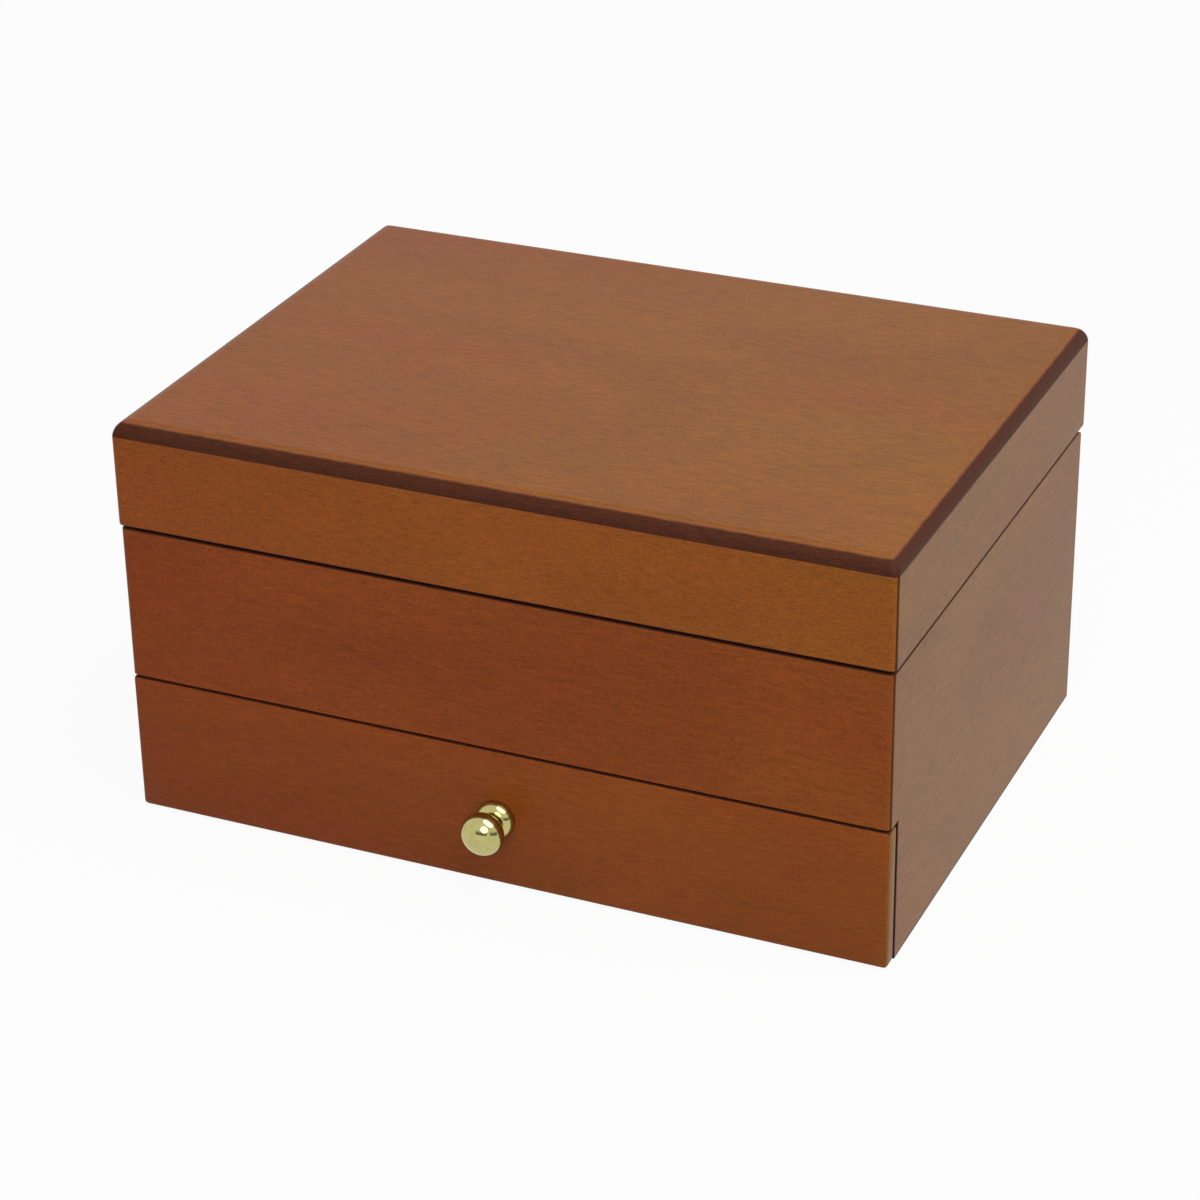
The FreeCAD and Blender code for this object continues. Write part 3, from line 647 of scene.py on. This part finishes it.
def roundedSlab(low, high, radius, spacing):
    # a box with every edge rounded, on a grid fine enough to be moved about
    reaches = [min(radius, (high[i] - low[i]) * slab["fullest"]) for i in range(3)]
    axes = [steps(low[i], high[i], reaches[i], spacing) for i in range(3)]
    made = bmesh.new()
    for axis in range(3):
        first, second = (axis + 1) % 3, (axis + 2) % 3
        for side in (0, -1):
            rows = []
            for u in axes[first]:
                row = []
                for v in axes[second]:
                    point = [0.0, 0.0, 0.0]
                    point[axis], point[first], point[second] = axes[axis][side], u, v
                    row.append(made.verts.new(point))
                rows.append(row)
            for i in range(len(rows) - 1):
                for j in range(len(rows[0]) - 1):
                    corners = [rows[i][j], rows[i + 1][j], rows[i + 1][j + 1], rows[i][j + 1]]
                    made.faces.new(corners if side else corners[::-1])
    bmesh.ops.remove_doubles(made, verts=made.verts, dist=slab["weld"])
    for vertex in made.verts:
        nearest = Vector()
        for i, reach in enumerate(reaches):
            nearest[i] = min(max(vertex.co[i], low[i] + reach), high[i] - reach)
        out = vertex.co - nearest
        if out.length > tiny:
            vertex.co = nearest + out.normalized() * min(radius, max(abs(part) for part in out))
    return made


def ruffle(made, amount, size, seed):
    # small uneven swells of cloth that is stretched over a form
    made.normal_update()
    moved = {}
    for vertex in made.verts:
        swell = noise.noise(vertex.co / size + Vector((seed, seed * 0.7, 0.0)))
        moved[vertex] = vertex.co + vertex.normal * swell * amount
    for vertex, place in moved.items():
        vertex.co = place


def stitch(made, rings):
    # faces between each closed ring of vertices and the next
    for near, far in zip(rings, rings[1:]):
        for i in range(len(near)):
            j = (i + 1) % len(near)
            made.faces.new((near[i], near[j], far[j], far[i]))


def toMesh(name, *made):
    # millimetres to metres; several parts become one mesh
    mesh = bpy.data.meshes.new(name)
    whole = bmesh.new()
    for part in made:
        held = bpy.data.meshes.new("part")
        part.to_mesh(held)
        whole.from_mesh(held)
        part.free()
        bpy.data.meshes.remove(held)
    bmesh.ops.scale(whole, vec=(mm, mm, mm), verts=whole.verts)
    whole.to_mesh(mesh)
    whole.free()
    return mesh


def addSuede(name, body, node, *made):
    return addPiece(name, toMesh(name, *made), "suede", body, node)


def boxInMm(node):
    return tuple(Vector(corner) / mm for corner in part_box(node))


# Drawer front, with every edge eased

drawerFront = {"edge": 1.1, "spacing": 12.0}


def addDrawerFront(values=drawerFront):
    low, high = boxInMm("drawer_front")
    mesh = toMesh("drawerFrontBoard", roundedSlab(low, high, values["edge"], values["spacing"]))
    addPiece("drawerFrontBoard", mesh, "drawerFront", "drawer", "drawer_front")


addDrawerFront()
print("drawer front eased")


# Suede covered boards: linings and dividers

board = {
    "spacing": 2.4,
    "swell": 0.07,
    "swellSize": 9.0,
    "linings": (("tray", "case", 0.9), ("lid", "lid", 0.5), ("drawer", "drawer", 0.55)),  # with their rounds
    "liningSeeds": (1.3, 3.1),  # the first one, and the step to the next
    "dividerRound": 0.46,  # of the thickness
    "longSeed": 40.0,
    "crossSeed": 50.0,
}


def wrappedBoard(low, high, edge, seed):
    made = roundedSlab(low, high, edge, board["spacing"])
    ruffle(made, board["swell"], board["swellSize"], seed)
    return made


def addLinings(values=board):
    seed, step = values["liningSeeds"]
    for room, body, edge in values["linings"]:
        for side in ("front", "back", "left", "right"):
            node = f"{room}_lining_{side}"
            addSuede(camel(node), body, node, wrappedBoard(*boxInMm(node), edge, seed))
            seed += step


def addDividers(values=board):
    longLow, longHigh = boxInMm("drawer_divider_long")
    edge = (longHigh.y - longLow.y) * values["dividerRound"]
    long = wrappedBoard(longLow, longHigh, edge, values["longSeed"])
    addSuede("dividerLong", "drawer", "drawer_divider_long", long)
    for side in ("left", "right"):
        low, high = boxInMm(f"drawer_divider_{side}")
        parts = []
        for start, end in ((low.y, longLow.y), (longHigh.y, high.y)):
            corners = (low.x, start, low.z), (high.x, end, high.z)
            parts.append(wrappedBoard(*corners, edge, values["crossSeed"] + start))
        addSuede(f"divider{side.capitalize()}", "drawer", f"drawer_divider_{side}", *parts)


addLinings()
addDividers()
print("linings and dividers covered")


# Padded floors

pad = {
    "edge": 0.5,
    "spacing": 1.6,
    "crown": 1.1,  # how far the padding rises away from walls and dividers
    "crownReach": 7.0,
    "pucker": 0.12,
    "puckerSize": 5.0,
}


def paddedFloor(name, node, body, walls, seed, values=pad):
    low, high = boxInMm(node)
    made = roundedSlab(low, high, values["edge"], values["spacing"])
    top = high.z - values["edge"]
    for vertex in made.verts:
        if vertex.co.z < top:
            continue
        x, y = vertex.co.x, vertex.co.y
        clear = min(x - low.x, high.x - x, y - low.y, high.y - y)
        for wallLow, wallHigh in walls:
            beside = max(wallLow.x - x, x - wallHigh.x, 0.0), max(wallLow.y - y, y - wallHigh.y, 0.0)
            clear = min(clear, math.hypot(*beside))
        rise = 1.0 - math.exp(-max(clear, 0.0) / values["crownReach"])
        uneven = noise.noise(Vector((x, y, seed)) / values["puckerSize"]) * values["pucker"]
        vertex.co.z += rise * (values["crown"] + uneven)
    piece = addSuede(name, body, node, made)


paddedFloor("trayPad", "tray_pad", "case", [boxInMm(f"ring_roll_{i}") for i in range(1, 8)], 4.0)
paddedFloor(
    "drawerPad", "drawer_pad", "drawer",
    [boxInMm(f"drawer_divider_{part}") for part in ("left", "long", "right")], 9.0,
)
print("floors padded")


# Ring rolls: foam bars in suede, blown up a little inside their covers

roll = {
    "count": 7,
    "round": 7.2,
    "footRound": 1.2,
    "roundSteps": 10,
    "inset": 0.35,  # the blank is this much smaller all round before it swells
    "voxel": 1.5,
    "workPitch": 26.0,  # the blanks are worked apart from each other
    "modelScale": 15.0,  # the cloth is worked at this size, where its settings are known
    "pressure": 4.0,
    "slack": -0.035,
    "frames": 20,
    "cap": 0.85,
    "dimple": 0.16,
    "dimpleSize": 6.0,
    "dimpleStep": 7.0,
    "footGap": 0.05,
    "endSwell": 0.3,  # how far the ends may stand out past the solid's
}


def placeInstances(tree, inputs, material, out):
    # the instances made real, in their material, as the tree's result
    placed = result(tree, "GeometryNodeInstanceOnPoints", inputs)
    real = result(tree, "GeometryNodeRealizeInstances", {0: placed})
    done = result(tree, "GeometryNodeSetMaterial", {"Geometry": real, "Material": material})
    tree.links.new(done, out[0])


def buildRollRow():
    # the bars' blanks, side by side along Y
    sizes = ("Length", "Width", "Height", "Round", "Foot round", "Pitch")
    tree, given, out = newGroup(
        "ringRollRow",
        [(name, floatSocket, None) for name in sizes]
        + [("Count", "NodeSocketInt", None), ("Suede", "NodeSocketMaterial", None)],
        [("Geometry", "NodeSocketGeometry")],
        "GeometryNodeTree",
    )
    size = {"Width": given["Width"], "Height": given["Height"]}
    section = result(tree, "GeometryNodeCurvePrimitiveQuadrilateral", size)
    place = separate(tree, tree.nodes.new("GeometryNodeInputPosition").outputs[0])
    upper = result(tree, "FunctionNodeCompare", {0: place[1], 1: 0.0}, operation="GREATER_THAN")
    rounds = {0: upper, 1: given["Foot round"], 2: given["Round"]}
    radius = result(tree, "GeometryNodeSwitch", rounds, input_type="FLOAT")
    fillet = {"Curve": section, "Radius": radius, "Count": roll["roundSteps"]}
    soft = result(tree, "GeometryNodeFilletCurve", fillet, mode="POLY")
    halfLength = times(tree, given["Length"], 0.5)
    start = combine(tree, times(tree, halfLength, -1.0))
    line = result(tree, "GeometryNodeCurvePrimitiveLine", {"Start": start, "End": combine(tree, halfLength)})
    sweep = {"Curve": line, "Profile Curve": soft, "Fill Caps": True}
    lying = result(tree, "GeometryNodeCurveToMesh", sweep)
    over = (math.radians(180.0), 0, 0)
    bar = result(tree, "GeometryNodeTransform", {"Geometry": lying, "Rotation": over})
    back = times(tree, minus(tree, given["Count"], 1.0), -0.5)
    first = combine(tree, 0.0, times(tree, back, given["Pitch"]))
    spread = {"Count": given["Count"], "Start Location": first, "Offset": combine(tree, 0.0, given["Pitch"])}
    row = result(tree, "GeometryNodeMeshLine", spread, mode="OFFSET")
    placeInstances(tree, {"Points": row, "Instance": bar}, given["Suede"], out)
    return tree


def evaluatedMesh(piece):
    # the mesh that the modifiers give, which are then taken off
    evaluated = piece.evaluated_get(bpy.context.evaluated_depsgraph_get())
    mesh = bpy.data.meshes.new_from_object(evaluated)
    piece.modifiers.clear()
    return mesh


def runTree(tree, values, mesh=None):
    # the tree's result as a plain mesh, with the modifier gone
    holder = bpy.data.objects.new("holder", mesh or bpy.data.meshes.new("holder"))
    bpy.context.scene.collection.objects.link(holder)
    modifier = holder.modifiers.new("nodes", "NODES")
    modifier.node_group = tree
    for item in tree.interface.items_tree:
        if item.in_out == "INPUT" and item.name in values:
            modifier[item.identifier] = values[item.name]
    bpy.context.view_layer.update()
    made = evaluatedMesh(holder)
    bpy.data.objects.remove(holder)
    return made


def swell(mesh, values):
    # the cloth cover of a row of bars under pressure, worked at a larger scale and brought back
    scale = values["modelScale"]
    mesh.transform(Matrix.Scale(scale * mm, 4))
    cover = bpy.data.objects.new("cover", mesh)
    bpy.context.scene.collection.objects.link(cover)
    remesh = cover.modifiers.new("remesh", "REMESH")
    remesh.mode = "VOXEL"
    remesh.voxel_size = values["voxel"] * scale * mm
    cover.data = evaluatedMesh(cover)
    blank = [vertex.co.copy() for vertex in cover.data.vertices]
    cloth = cover.modifiers.new("cloth", "CLOTH")
    cloth.settings.use_pressure = True
    cloth.settings.uniform_pressure_force = values["pressure"]
    cloth.settings.shrink_min = values["slack"]
    cloth.settings.effector_weights.gravity = 0.0
    cloth.collision_settings.use_collision = False
    cloth.point_cache.frame_start = 1
    cloth.point_cache.frame_end = values["frames"]
    for frameNumber in range(1, values["frames"] + 1):
        bpy.context.scene.frame_set(frameNumber)
    swollen = evaluatedMesh(cover)
    bpy.context.scene.frame_set(1)
    cap = values["cap"] * scale * mm
    for vertex, start, end in zip(cover.data.vertices, blank, swollen.vertices):
        step = end.co - start
        vertex.co = start + step * min(1.0, cap / max(step.length, tiny))
    mesh = cover.data
    bpy.data.objects.remove(cover)
    mesh.transform(Matrix.Scale(1 / (scale * mm), 4))
    return mesh


def addRingRolls(values=roll):
    boxes = [boxInMm(f"ring_roll_{i + 1}") for i in range(values["count"])]
    low, high = boxes[0]
    inset, pitch = values["inset"], values["workPitch"]
    blanks = runTree(buildRollRow(), {
        "Length": high.x - low.x - 2 * inset,
        "Width": high.y - low.y - 2 * inset,
        "Height": high.z - low.z - 2 * inset,
        "Round": values["round"],
        "Foot round": values["footRound"],
        "Pitch": pitch,
        "Count": values["count"],
        "Suede": materials["suede"],
    })
    whole = bmesh.new()
    whole.from_mesh(swell(blanks, values))
    middle = Vector((0.0, 0.0, (low.z + high.z) / 2))
    bmesh.ops.translate(whole, vec=middle, verts=whole.verts)
    for index, (low, high) in enumerate(boxes):
        made = whole.copy()
        workY = (index - (values["count"] - 1) / 2) * pitch
        middleY = (low.y + high.y) / 2
        others = [v for v in made.verts if abs(v.co.y - workY) > pitch / 2]
        bmesh.ops.delete(made, geom=others, context="VERTS")
        bmesh.ops.translate(made, vec=(0.0, middleY - workY, 0.0), verts=made.verts)
        seed = Vector((index * values["dimpleStep"], 0.0, 0.0))
        for vertex in made.verts:
            dimple = noise.noise(vertex.co / values["dimpleSize"] + seed)
            out = vertex.co - Vector((vertex.co.x, middleY, middle.z))
            vertex.co += out.normalized() * dimple * values["dimple"]
            vertex.co.z = max(vertex.co.z, low.z + values["footGap"])
            vertex.co.x = min(max(vertex.co.x, low.x - values["endSwell"]), high.x + values["endSwell"])
        piece = addSuede(f"ringRoll{index + 1}", "case", f"ring_roll_{index + 1}", made)
        smooth = piece.modifiers.new("smooth", "SUBSURF")
        smooth.levels = smooth.render_levels = 1
    whole.free()


addRingRolls()
print("ring rolls stuffed")


# Mirror surround: a suede covered frame with mitred corners and a soft inner edge

surround = {
    "bar": 14.0,
    "innerRound": 1.1,
    "roundSteps": 4,
    "crown": 0.35,
    "spacing": 1.5,
    "outerEdge": ((0.15, 0.15), (0.0, 0.5)),  # in from the outer side, up from the face
    "upperEdge": ((0.0, 0.3), (0.3, 0.0), (8.0, 0.0), (8.8, 0.0)),  # in, and down from the top
    "rebate": ((8.8, 0.2), (9.0, -0.1)),  # in, and up from the glass
    "overlap": 0.1,
    "mitreDepth": 0.4,
    "mitreWidth": 0.7,
    "nearMitre": (0.0, 0.004, 0.01),  # shares of a side
    "farMitre": (0.99, 0.996),
    "pitch": 2.0,
    "swell": 0.1,
    "swellSize": 11.0,
}


def surroundSection(face, rest, top, values):
    # (out from the window, height) all the way round one bar
    reach, bar = values["innerRound"], values["bar"]
    section = [(0.0, rest - values["overlap"]), (0.0, face + reach)]
    for i in range(1, values["roundSteps"] + 1):
        turn = math.radians(90.0 * i / values["roundSteps"])
        section.append((reach - reach * math.cos(turn), face + reach - reach * math.sin(turn)))
    width = bar - values["outerEdge"][-1][1] - reach
    across = max(2, round(width / values["spacing"]))
    for i in range(1, across + 1):
        share = i / across
        section.append((reach + width * share, face - values["crown"] * math.sin(math.pi * share)))
    section += [(bar - inward, face + up) for inward, up in values["outerEdge"]]
    section += [(bar - inward, top - down) for inward, down in values["upperEdge"]]
    return section + [(bar - inward, rest + up) for inward, up in values["rebate"]]


def addSurround(values=surround):
    low, high = boxInMm("mirror_surround")
    rest = boxInMm("mirror_glass")[0].z
    window = high.x - values["bar"], high.y - values["bar"]
    near, far = values["nearMitre"], values["farMitre"]
    made = bmesh.new()
    rings = []
    for u, z in surroundSection(low.z, rest, high.z, values):
        halfX, halfY = window[0] + u, window[1] + u
        corners = [(-halfX, -halfY), (halfX, -halfY), (halfX, halfY), (-halfX, halfY)]
        ring = []
        for side in range(4):
            start, end = corners[side], corners[(side + 1) % 4]
            length = math.hypot(end[0] - start[0], end[1] - start[1])
            count = round(window[side % 2] * 2 / values["pitch"])
            middle = [near[-1] + (far[0] - near[-1]) * i / count for i in range(1, count)]
            for share in (*near, *middle, *far):
                x = start[0] + (end[0] - start[0]) * share
                y = start[1] + (end[1] - start[1]) * share
                rise = 0.0
                if z < rest and u < values["bar"]:
                    fromMitre = min(share, 1 - share) * length
                    rise = values["mitreDepth"] * math.exp(-((fromMitre / values["mitreWidth"]) ** 2))
                    rise += noise.noise(Vector((x, y, z)) / values["swellSize"]) * values["swell"]
                ring.append(made.verts.new((x, y, z + rise)))
        rings.append(ring)
    stitch(made, rings + [rings[0]])
    bmesh.ops.recalc_face_normals(made, faces=made.faces)
    addSuede("mirrorSurround", "lid", "mirror_surround", made)


addSurround()
print("mirror framed")


# Felt under the base

felt = {"edge": 0.3, "spacing": 3.0, "skin": 0.2, "fuzz": 0.05, "fuzzSize": 1.6}


def addFelt(values=felt):
    low, high = boxInMm("base_felt")
    made = roundedSlab(low, high, values["edge"], values["spacing"])
    for vertex in made.verts:
        if vertex.co.z > low.z + values["skin"]:
            continue
        vertex.co.z += abs(noise.noise(vertex.co / values["fuzzSize"])) * values["fuzz"]
    piece = addPiece("baseFelt", toMesh("baseFelt", made), "felt", "case", "base_felt")


addFelt()
print("felt laid")


# Hinge screws: countersunk and slotted, two in each leaf

screw = {
    "pitch": 13.0,
    "sizes": {
        "Head radius": 1.49,
        "Head height": 0.78,
        "Edge": 0.08,
        "Shank radius": 0.8,
        "Length": 6.75,
        "Point": 0.85,
        "Slot width": 0.42,
        "Slot depth": 0.4,
    },
    "segments": 40,
    "tip": 0.08,  # of the shank's radius
    "turn": 0.5,  # slots stop at uneven angles
    "sharp": 35.0,
}


def byIndex(tree, kind, values):
    # one value for each point in turn
    node = addNode(tree, "GeometryNodeIndexSwitch", data_type=kind)
    while len(node.index_switch_items) < len(values):
        node.index_switch_items.new()
    tree.links.new(result(tree, "GeometryNodeInputIndex"), node.inputs[0])
    for socket, value in zip(node.inputs[1:], values):
        tree.links.new(value, socket)
    return node.outputs[0]


def buildScrews(values=screw):
    # a screw at each vertex of the incoming mesh, its head up unless it is flipped
    tree, given, out = newGroup(
        "hingeScrews",
        [("Places", "NodeSocketGeometry", None), ("Segments", "NodeSocketInt", None)]
        + [(name, floatSocket, None) for name in (*values["sizes"], "Flip", "Turn")]
        + [("Seed", "NodeSocketInt", None), ("Brass", "NodeSocketMaterial", None)],
        [("Geometry", "NodeSocketGeometry")],
        "GeometryNodeTree",
    )
    head, shank, length = given["Head radius"], given["Shank radius"], given["Length"]
    stations = (
        (0.0, minus(tree, head, given["Edge"])),
        (given["Edge"], head),
        (given["Head height"], shank),
        (minus(tree, length, given["Point"]), shank),
        (length, times(tree, shank, values["tip"])),
    )
    depths = [times(tree, depth, -1.0) for depth, radius in stations]
    line = result(tree, "GeometryNodeMeshLine", {"Count": len(stations)}, mode="OFFSET")
    place = combine(tree, 0.0, 0.0, byIndex(tree, "FLOAT", depths))
    axis = result(tree, "GeometryNodeSetPosition", {"Geometry": line, "Position": place})
    circle = {"Resolution": given["Segments"], "Radius": 1.0}
    turned = result(tree, "GeometryNodeCurveToMesh", {
        "Curve": result(tree, "GeometryNodeMeshToCurve", {0: axis}),
        "Profile Curve": result(tree, "GeometryNodeCurvePrimitiveCircle", circle),
        "Scale": byIndex(tree, "FLOAT", [radius for depth, radius in stations]),
        "Fill Caps": True,
    })
    wide = times(tree, head, 3.0)
    deep = times(tree, given["Slot depth"], 2.0)
    cutter = result(tree, "GeometryNodeMeshCube", {"Size": combine(tree, wide, given["Slot width"], deep)})
    slotted = result(tree, "GeometryNodeMeshBoolean", {0: turned, 1: cutter}, operation="DIFFERENCE")
    least = times(tree, given["Turn"], -1.0)
    angle = addNode(tree, "FunctionNodeRandomValue", {2: least, 3: given["Turn"], "Seed": given["Seed"]})
    attitude = combine(tree, given["Flip"], 0.0, angle.outputs[1])
    spots = {"Points": given["Places"], "Instance": slotted, "Rotation": attitude}
    placeInstances(tree, spots, given["Brass"], out)
    return tree


def addHingeScrews(values=screw):
    tree = buildScrews()
    for body, flip, seed in (("case", 0.0, 3), ("lid", math.pi, 8)):
        low, high = boxInMm(f"hinge_{body}_screws")
        face = low.z if flip else high.z
        places = []
        for side in ("left", "right"):
            leafLow, leafHigh = boxInMm(f"hinge_{side}_{body}_leaf")
            for reach in (-1, 1):
                x = (leafLow.x + leafHigh.x) / 2 + reach * values["pitch"] / 2
                places.append((x, (low.y + high.y) / 2, face))
        spots = bpy.data.meshes.new("spots")
        spots.from_pydata(places, [], [])
        mesh = runTree(tree, {
            **values["sizes"],
            "Segments": values["segments"],
            "Flip": flip,
            "Turn": values["turn"],
            "Seed": seed,
            "Brass": materials["screwBrass"],
        }, spots)
        mesh.transform(Matrix.Scale(mm, 4))
        addPiece(f"{body}HingeScrews", mesh, "screwBrass", body, f"hinge_{body}_screws")
        mesh.set_sharp_from_angle(angle=math.radians(values["sharp"]))


addHingeScrews()
print("hinge screws driven")


# Knob, turned as one piece

knob = {
    "flange": (0.6, 5.0, 3.0),  # height over the drawer front, radius, dome
    "neck": (3.6, 1.8),
    "ball": (8.05, 5.5, 4.05, 3.3),  # middle, radius, half depth, side's round
    "footStations": 6,
    "neckStations": (0.1, 0.5, 0.9, 1.0),
    "stations": 14,
    "segments": 96,
}


def arcStations(start, end, centre, count):
    # points of an arc in (reach, radius), the first one left out
    first = math.atan2(start[1] - centre[1], start[0] - centre[0])
    last = math.atan2(end[1] - centre[1], end[0] - centre[0])
    radius = math.hypot(start[0] - centre[0], start[1] - centre[1])
    turns = [first + (last - first) * i / count for i in range(1, count + 1)]
    return [(centre[0] + radius * math.cos(turn), centre[1] + radius * math.sin(turn)) for turn in turns]


def knobOutline(values):
    flangeReach, flangeRadius, dome = values["flange"]
    neckReach, neckRadius = values["neck"]
    middle, radius, depth, side = values["ball"]
    count = values["stations"]
    face = ((radius - side) ** 2 + depth ** 2 - side ** 2) / (2 * (depth - side))
    turnReach = side * (face - depth) / (face - side)
    turnRadius = (radius - side) * face / (face - side)
    ballStart = middle - depth + face - math.sqrt(face ** 2 - neckRadius ** 2)
    edge, neck, foot = (flangeReach, flangeRadius), (neckReach, neckRadius), flangeRadius - flangeReach
    points = [(0.0, foot)]
    points += arcStations(points[0], edge, (flangeReach, foot), values["footStations"])
    points += arcStations(edge, neck, (flangeReach, flangeRadius - dome), count)
    points += [(neckReach + (ballStart - neckReach) * share, neckRadius) for share in values["neckStations"]]
    back, front = (middle - turnReach, turnRadius), (middle + turnReach, turnRadius)
    points += arcStations(points[-1], back, (middle - depth + face, 0.0), count)
    points += arcStations(back, front, (middle, radius - side), count * 2)
    points += arcStations(front, (middle + depth, 0.0), (middle + depth - face, 0.0), count * 2)[:-1]
    return points


def addKnob(values=knob):
    low, high = boxInMm("drawer_knob")
    middle = (low + high) / 2
    turns = [math.tau * i / values["segments"] for i in range(values["segments"])]
    made = bmesh.new()
    rings = []
    for reach, radius in knobOutline(values):
        ring = []
        for turn in turns:
            x, z = middle.x + radius * math.cos(turn), middle.z + radius * math.sin(turn)
            ring.append(made.verts.new((x, high.y - reach, z)))
        rings.append(ring)
    tip = made.verts.new((middle.x, low.y, middle.z))
    stitch(made, rings)
    for i in range(values["segments"]):
        made.faces.new((rings[-1][i], rings[-1][(i + 1) % values["segments"]], tip))
    made.faces.new(rings[0])
    bmesh.ops.recalc_face_normals(made, faces=made.faces)
    mesh = toMesh("turnedKnob", made)
    addPiece("turnedKnob", mesh, "knobBrass", "drawer", "drawer_knob")
    for polygon in mesh.polygons:
        polygon.use_smooth = len(polygon.vertices) < 5


addKnob()
print("knob turned")


# Floor, world and lamps

studio = {
    "floorSize": 12.0,
    "floorLook": {"Base Color": (0.62, 0.62, 0.62, 1.0), "Roughness": 0.9, "Specular IOR Level": 0.0},
    "floorGlow": 0.94,  # how much of the floor the camera sees as plain white
    "ambient": 0.28,
    "room": ((0.0, 25.0), (63.0, 29.0)),  # unlit parts of the room ahead of the box: bearing and half width
    "roomFade": (6.0, 2.0),  # degrees inside and outside the half width
    "roomHeight": (0.16, 0.32),  # where the unlit part starts to end, and ends
    "roomStrength": 0.25,
}
lamps = {
    "overheadPanel": {"toward": (0.41, -0.18, 0.89), "distance": 1.3, "size": 1.15, "energy": 14.0},
    "frontPanel": {"toward": (0.18, -0.89, 0.42), "distance": 1.5, "size": 0.75, "energy": 4.8},
}


def addFloor(values):
    half = values["floorSize"] / 2
    mesh = bpy.data.meshes.new("floor")
    corners = [(-half, -half, 0), (half, -half, 0), (half, half, 0), (-half, half, 0)]
    mesh.from_pydata(corners, [], [(0, 1, 2, 3)])
    floor = bpy.data.objects.new("floor", mesh)
    bpy.context.scene.collection.objects.link(floor)
    material = bpy.data.materials.new("floor")
    material.use_nodes = True
    tree = material.node_tree
    shader = tree.nodes["Principled BSDF"]
    fill(tree, shader.inputs, values["floorLook"])
    glow = result(tree, "ShaderNodeEmission", {"Color": (1, 1, 1, 1), "Strength": 1.0})
    path = addNode(tree, "ShaderNodeLightPath").outputs
    seen = plus(tree, path["Is Camera Ray"], path["Is Glossy Ray"], clamp=True)
    share = times(tree, seen, values["floorGlow"])
    mixed = result(tree, "ShaderNodeMixShader", {0: share, 1: shader.outputs[0], 2: glow})
    tree.links.new(mixed, tree.nodes["Material Output"].inputs["Surface"])
    mesh.materials.append(material)


def lightWorld(values):
    world = bpy.data.worlds.new("studio")
    bpy.context.scene.world = world
    world.use_nodes = True
    tree = world.node_tree
    path = addNode(tree, "ShaderNodeLightPath").outputs
    seen = plus(tree, path["Is Camera Ray"], path["Is Glossy Ray"])
    seen = plus(tree, seen, path["Is Transmission Ray"], clamp=True)
    parts = separate(tree, addNode(tree, "ShaderNodeTexCoord").outputs["Generated"])
    low = remap(tree, parts[2], *values["roomHeight"], 1.0, 0.0, smooth=True)
    bearing = maths(tree, "ARCTAN2", parts[0], times(tree, parts[1], -1.0))
    inner, outer = values["roomFade"]
    ahead = 0.0
    for middle, halfWidth in values["room"]:
        away = maths(tree, "ABSOLUTE", minus(tree, bearing, math.radians(middle)))
        fade = math.radians(halfWidth - inner), math.radians(halfWidth + outer)
        dark = remap(tree, away, *fade, 1.0, 0.0, smooth=True)
        ahead = plus(tree, dark, ahead, clamp=True)
    room = times(tree, times(tree, low, ahead), path["Is Glossy Ray"])
    white = remap(tree, room, 0.0, 1.0, 1.0, values["roomStrength"])
    strength = result(tree, "ShaderNodeMix", {0: seen, 2: values["ambient"], 3: white})
    fill(tree, tree.nodes["Background"].inputs, {"Color": (1, 1, 1, 1), "Strength": strength})


def addLamp(name, values):
    lamp = bpy.data.lights.new(name, "AREA")
    lamp.shape = "DISK"
    lamp.size = values["size"]
    lamp.energy = values["energy"]
    holder = bpy.data.objects.new(name, lamp)
    bpy.context.scene.collection.objects.link(holder)
    toward = Vector(values["toward"]).normalized()
    holder.location = toward * values["distance"]
    holder.rotation_euler = toward.to_track_quat("Z", "Y").to_euler()


addFloor(studio)
lightWorld(studio)
for name, values in lamps.items():
    addLamp(name, values)
bpy.context.scene.view_settings.view_transform = "Standard"
print("studio lit")
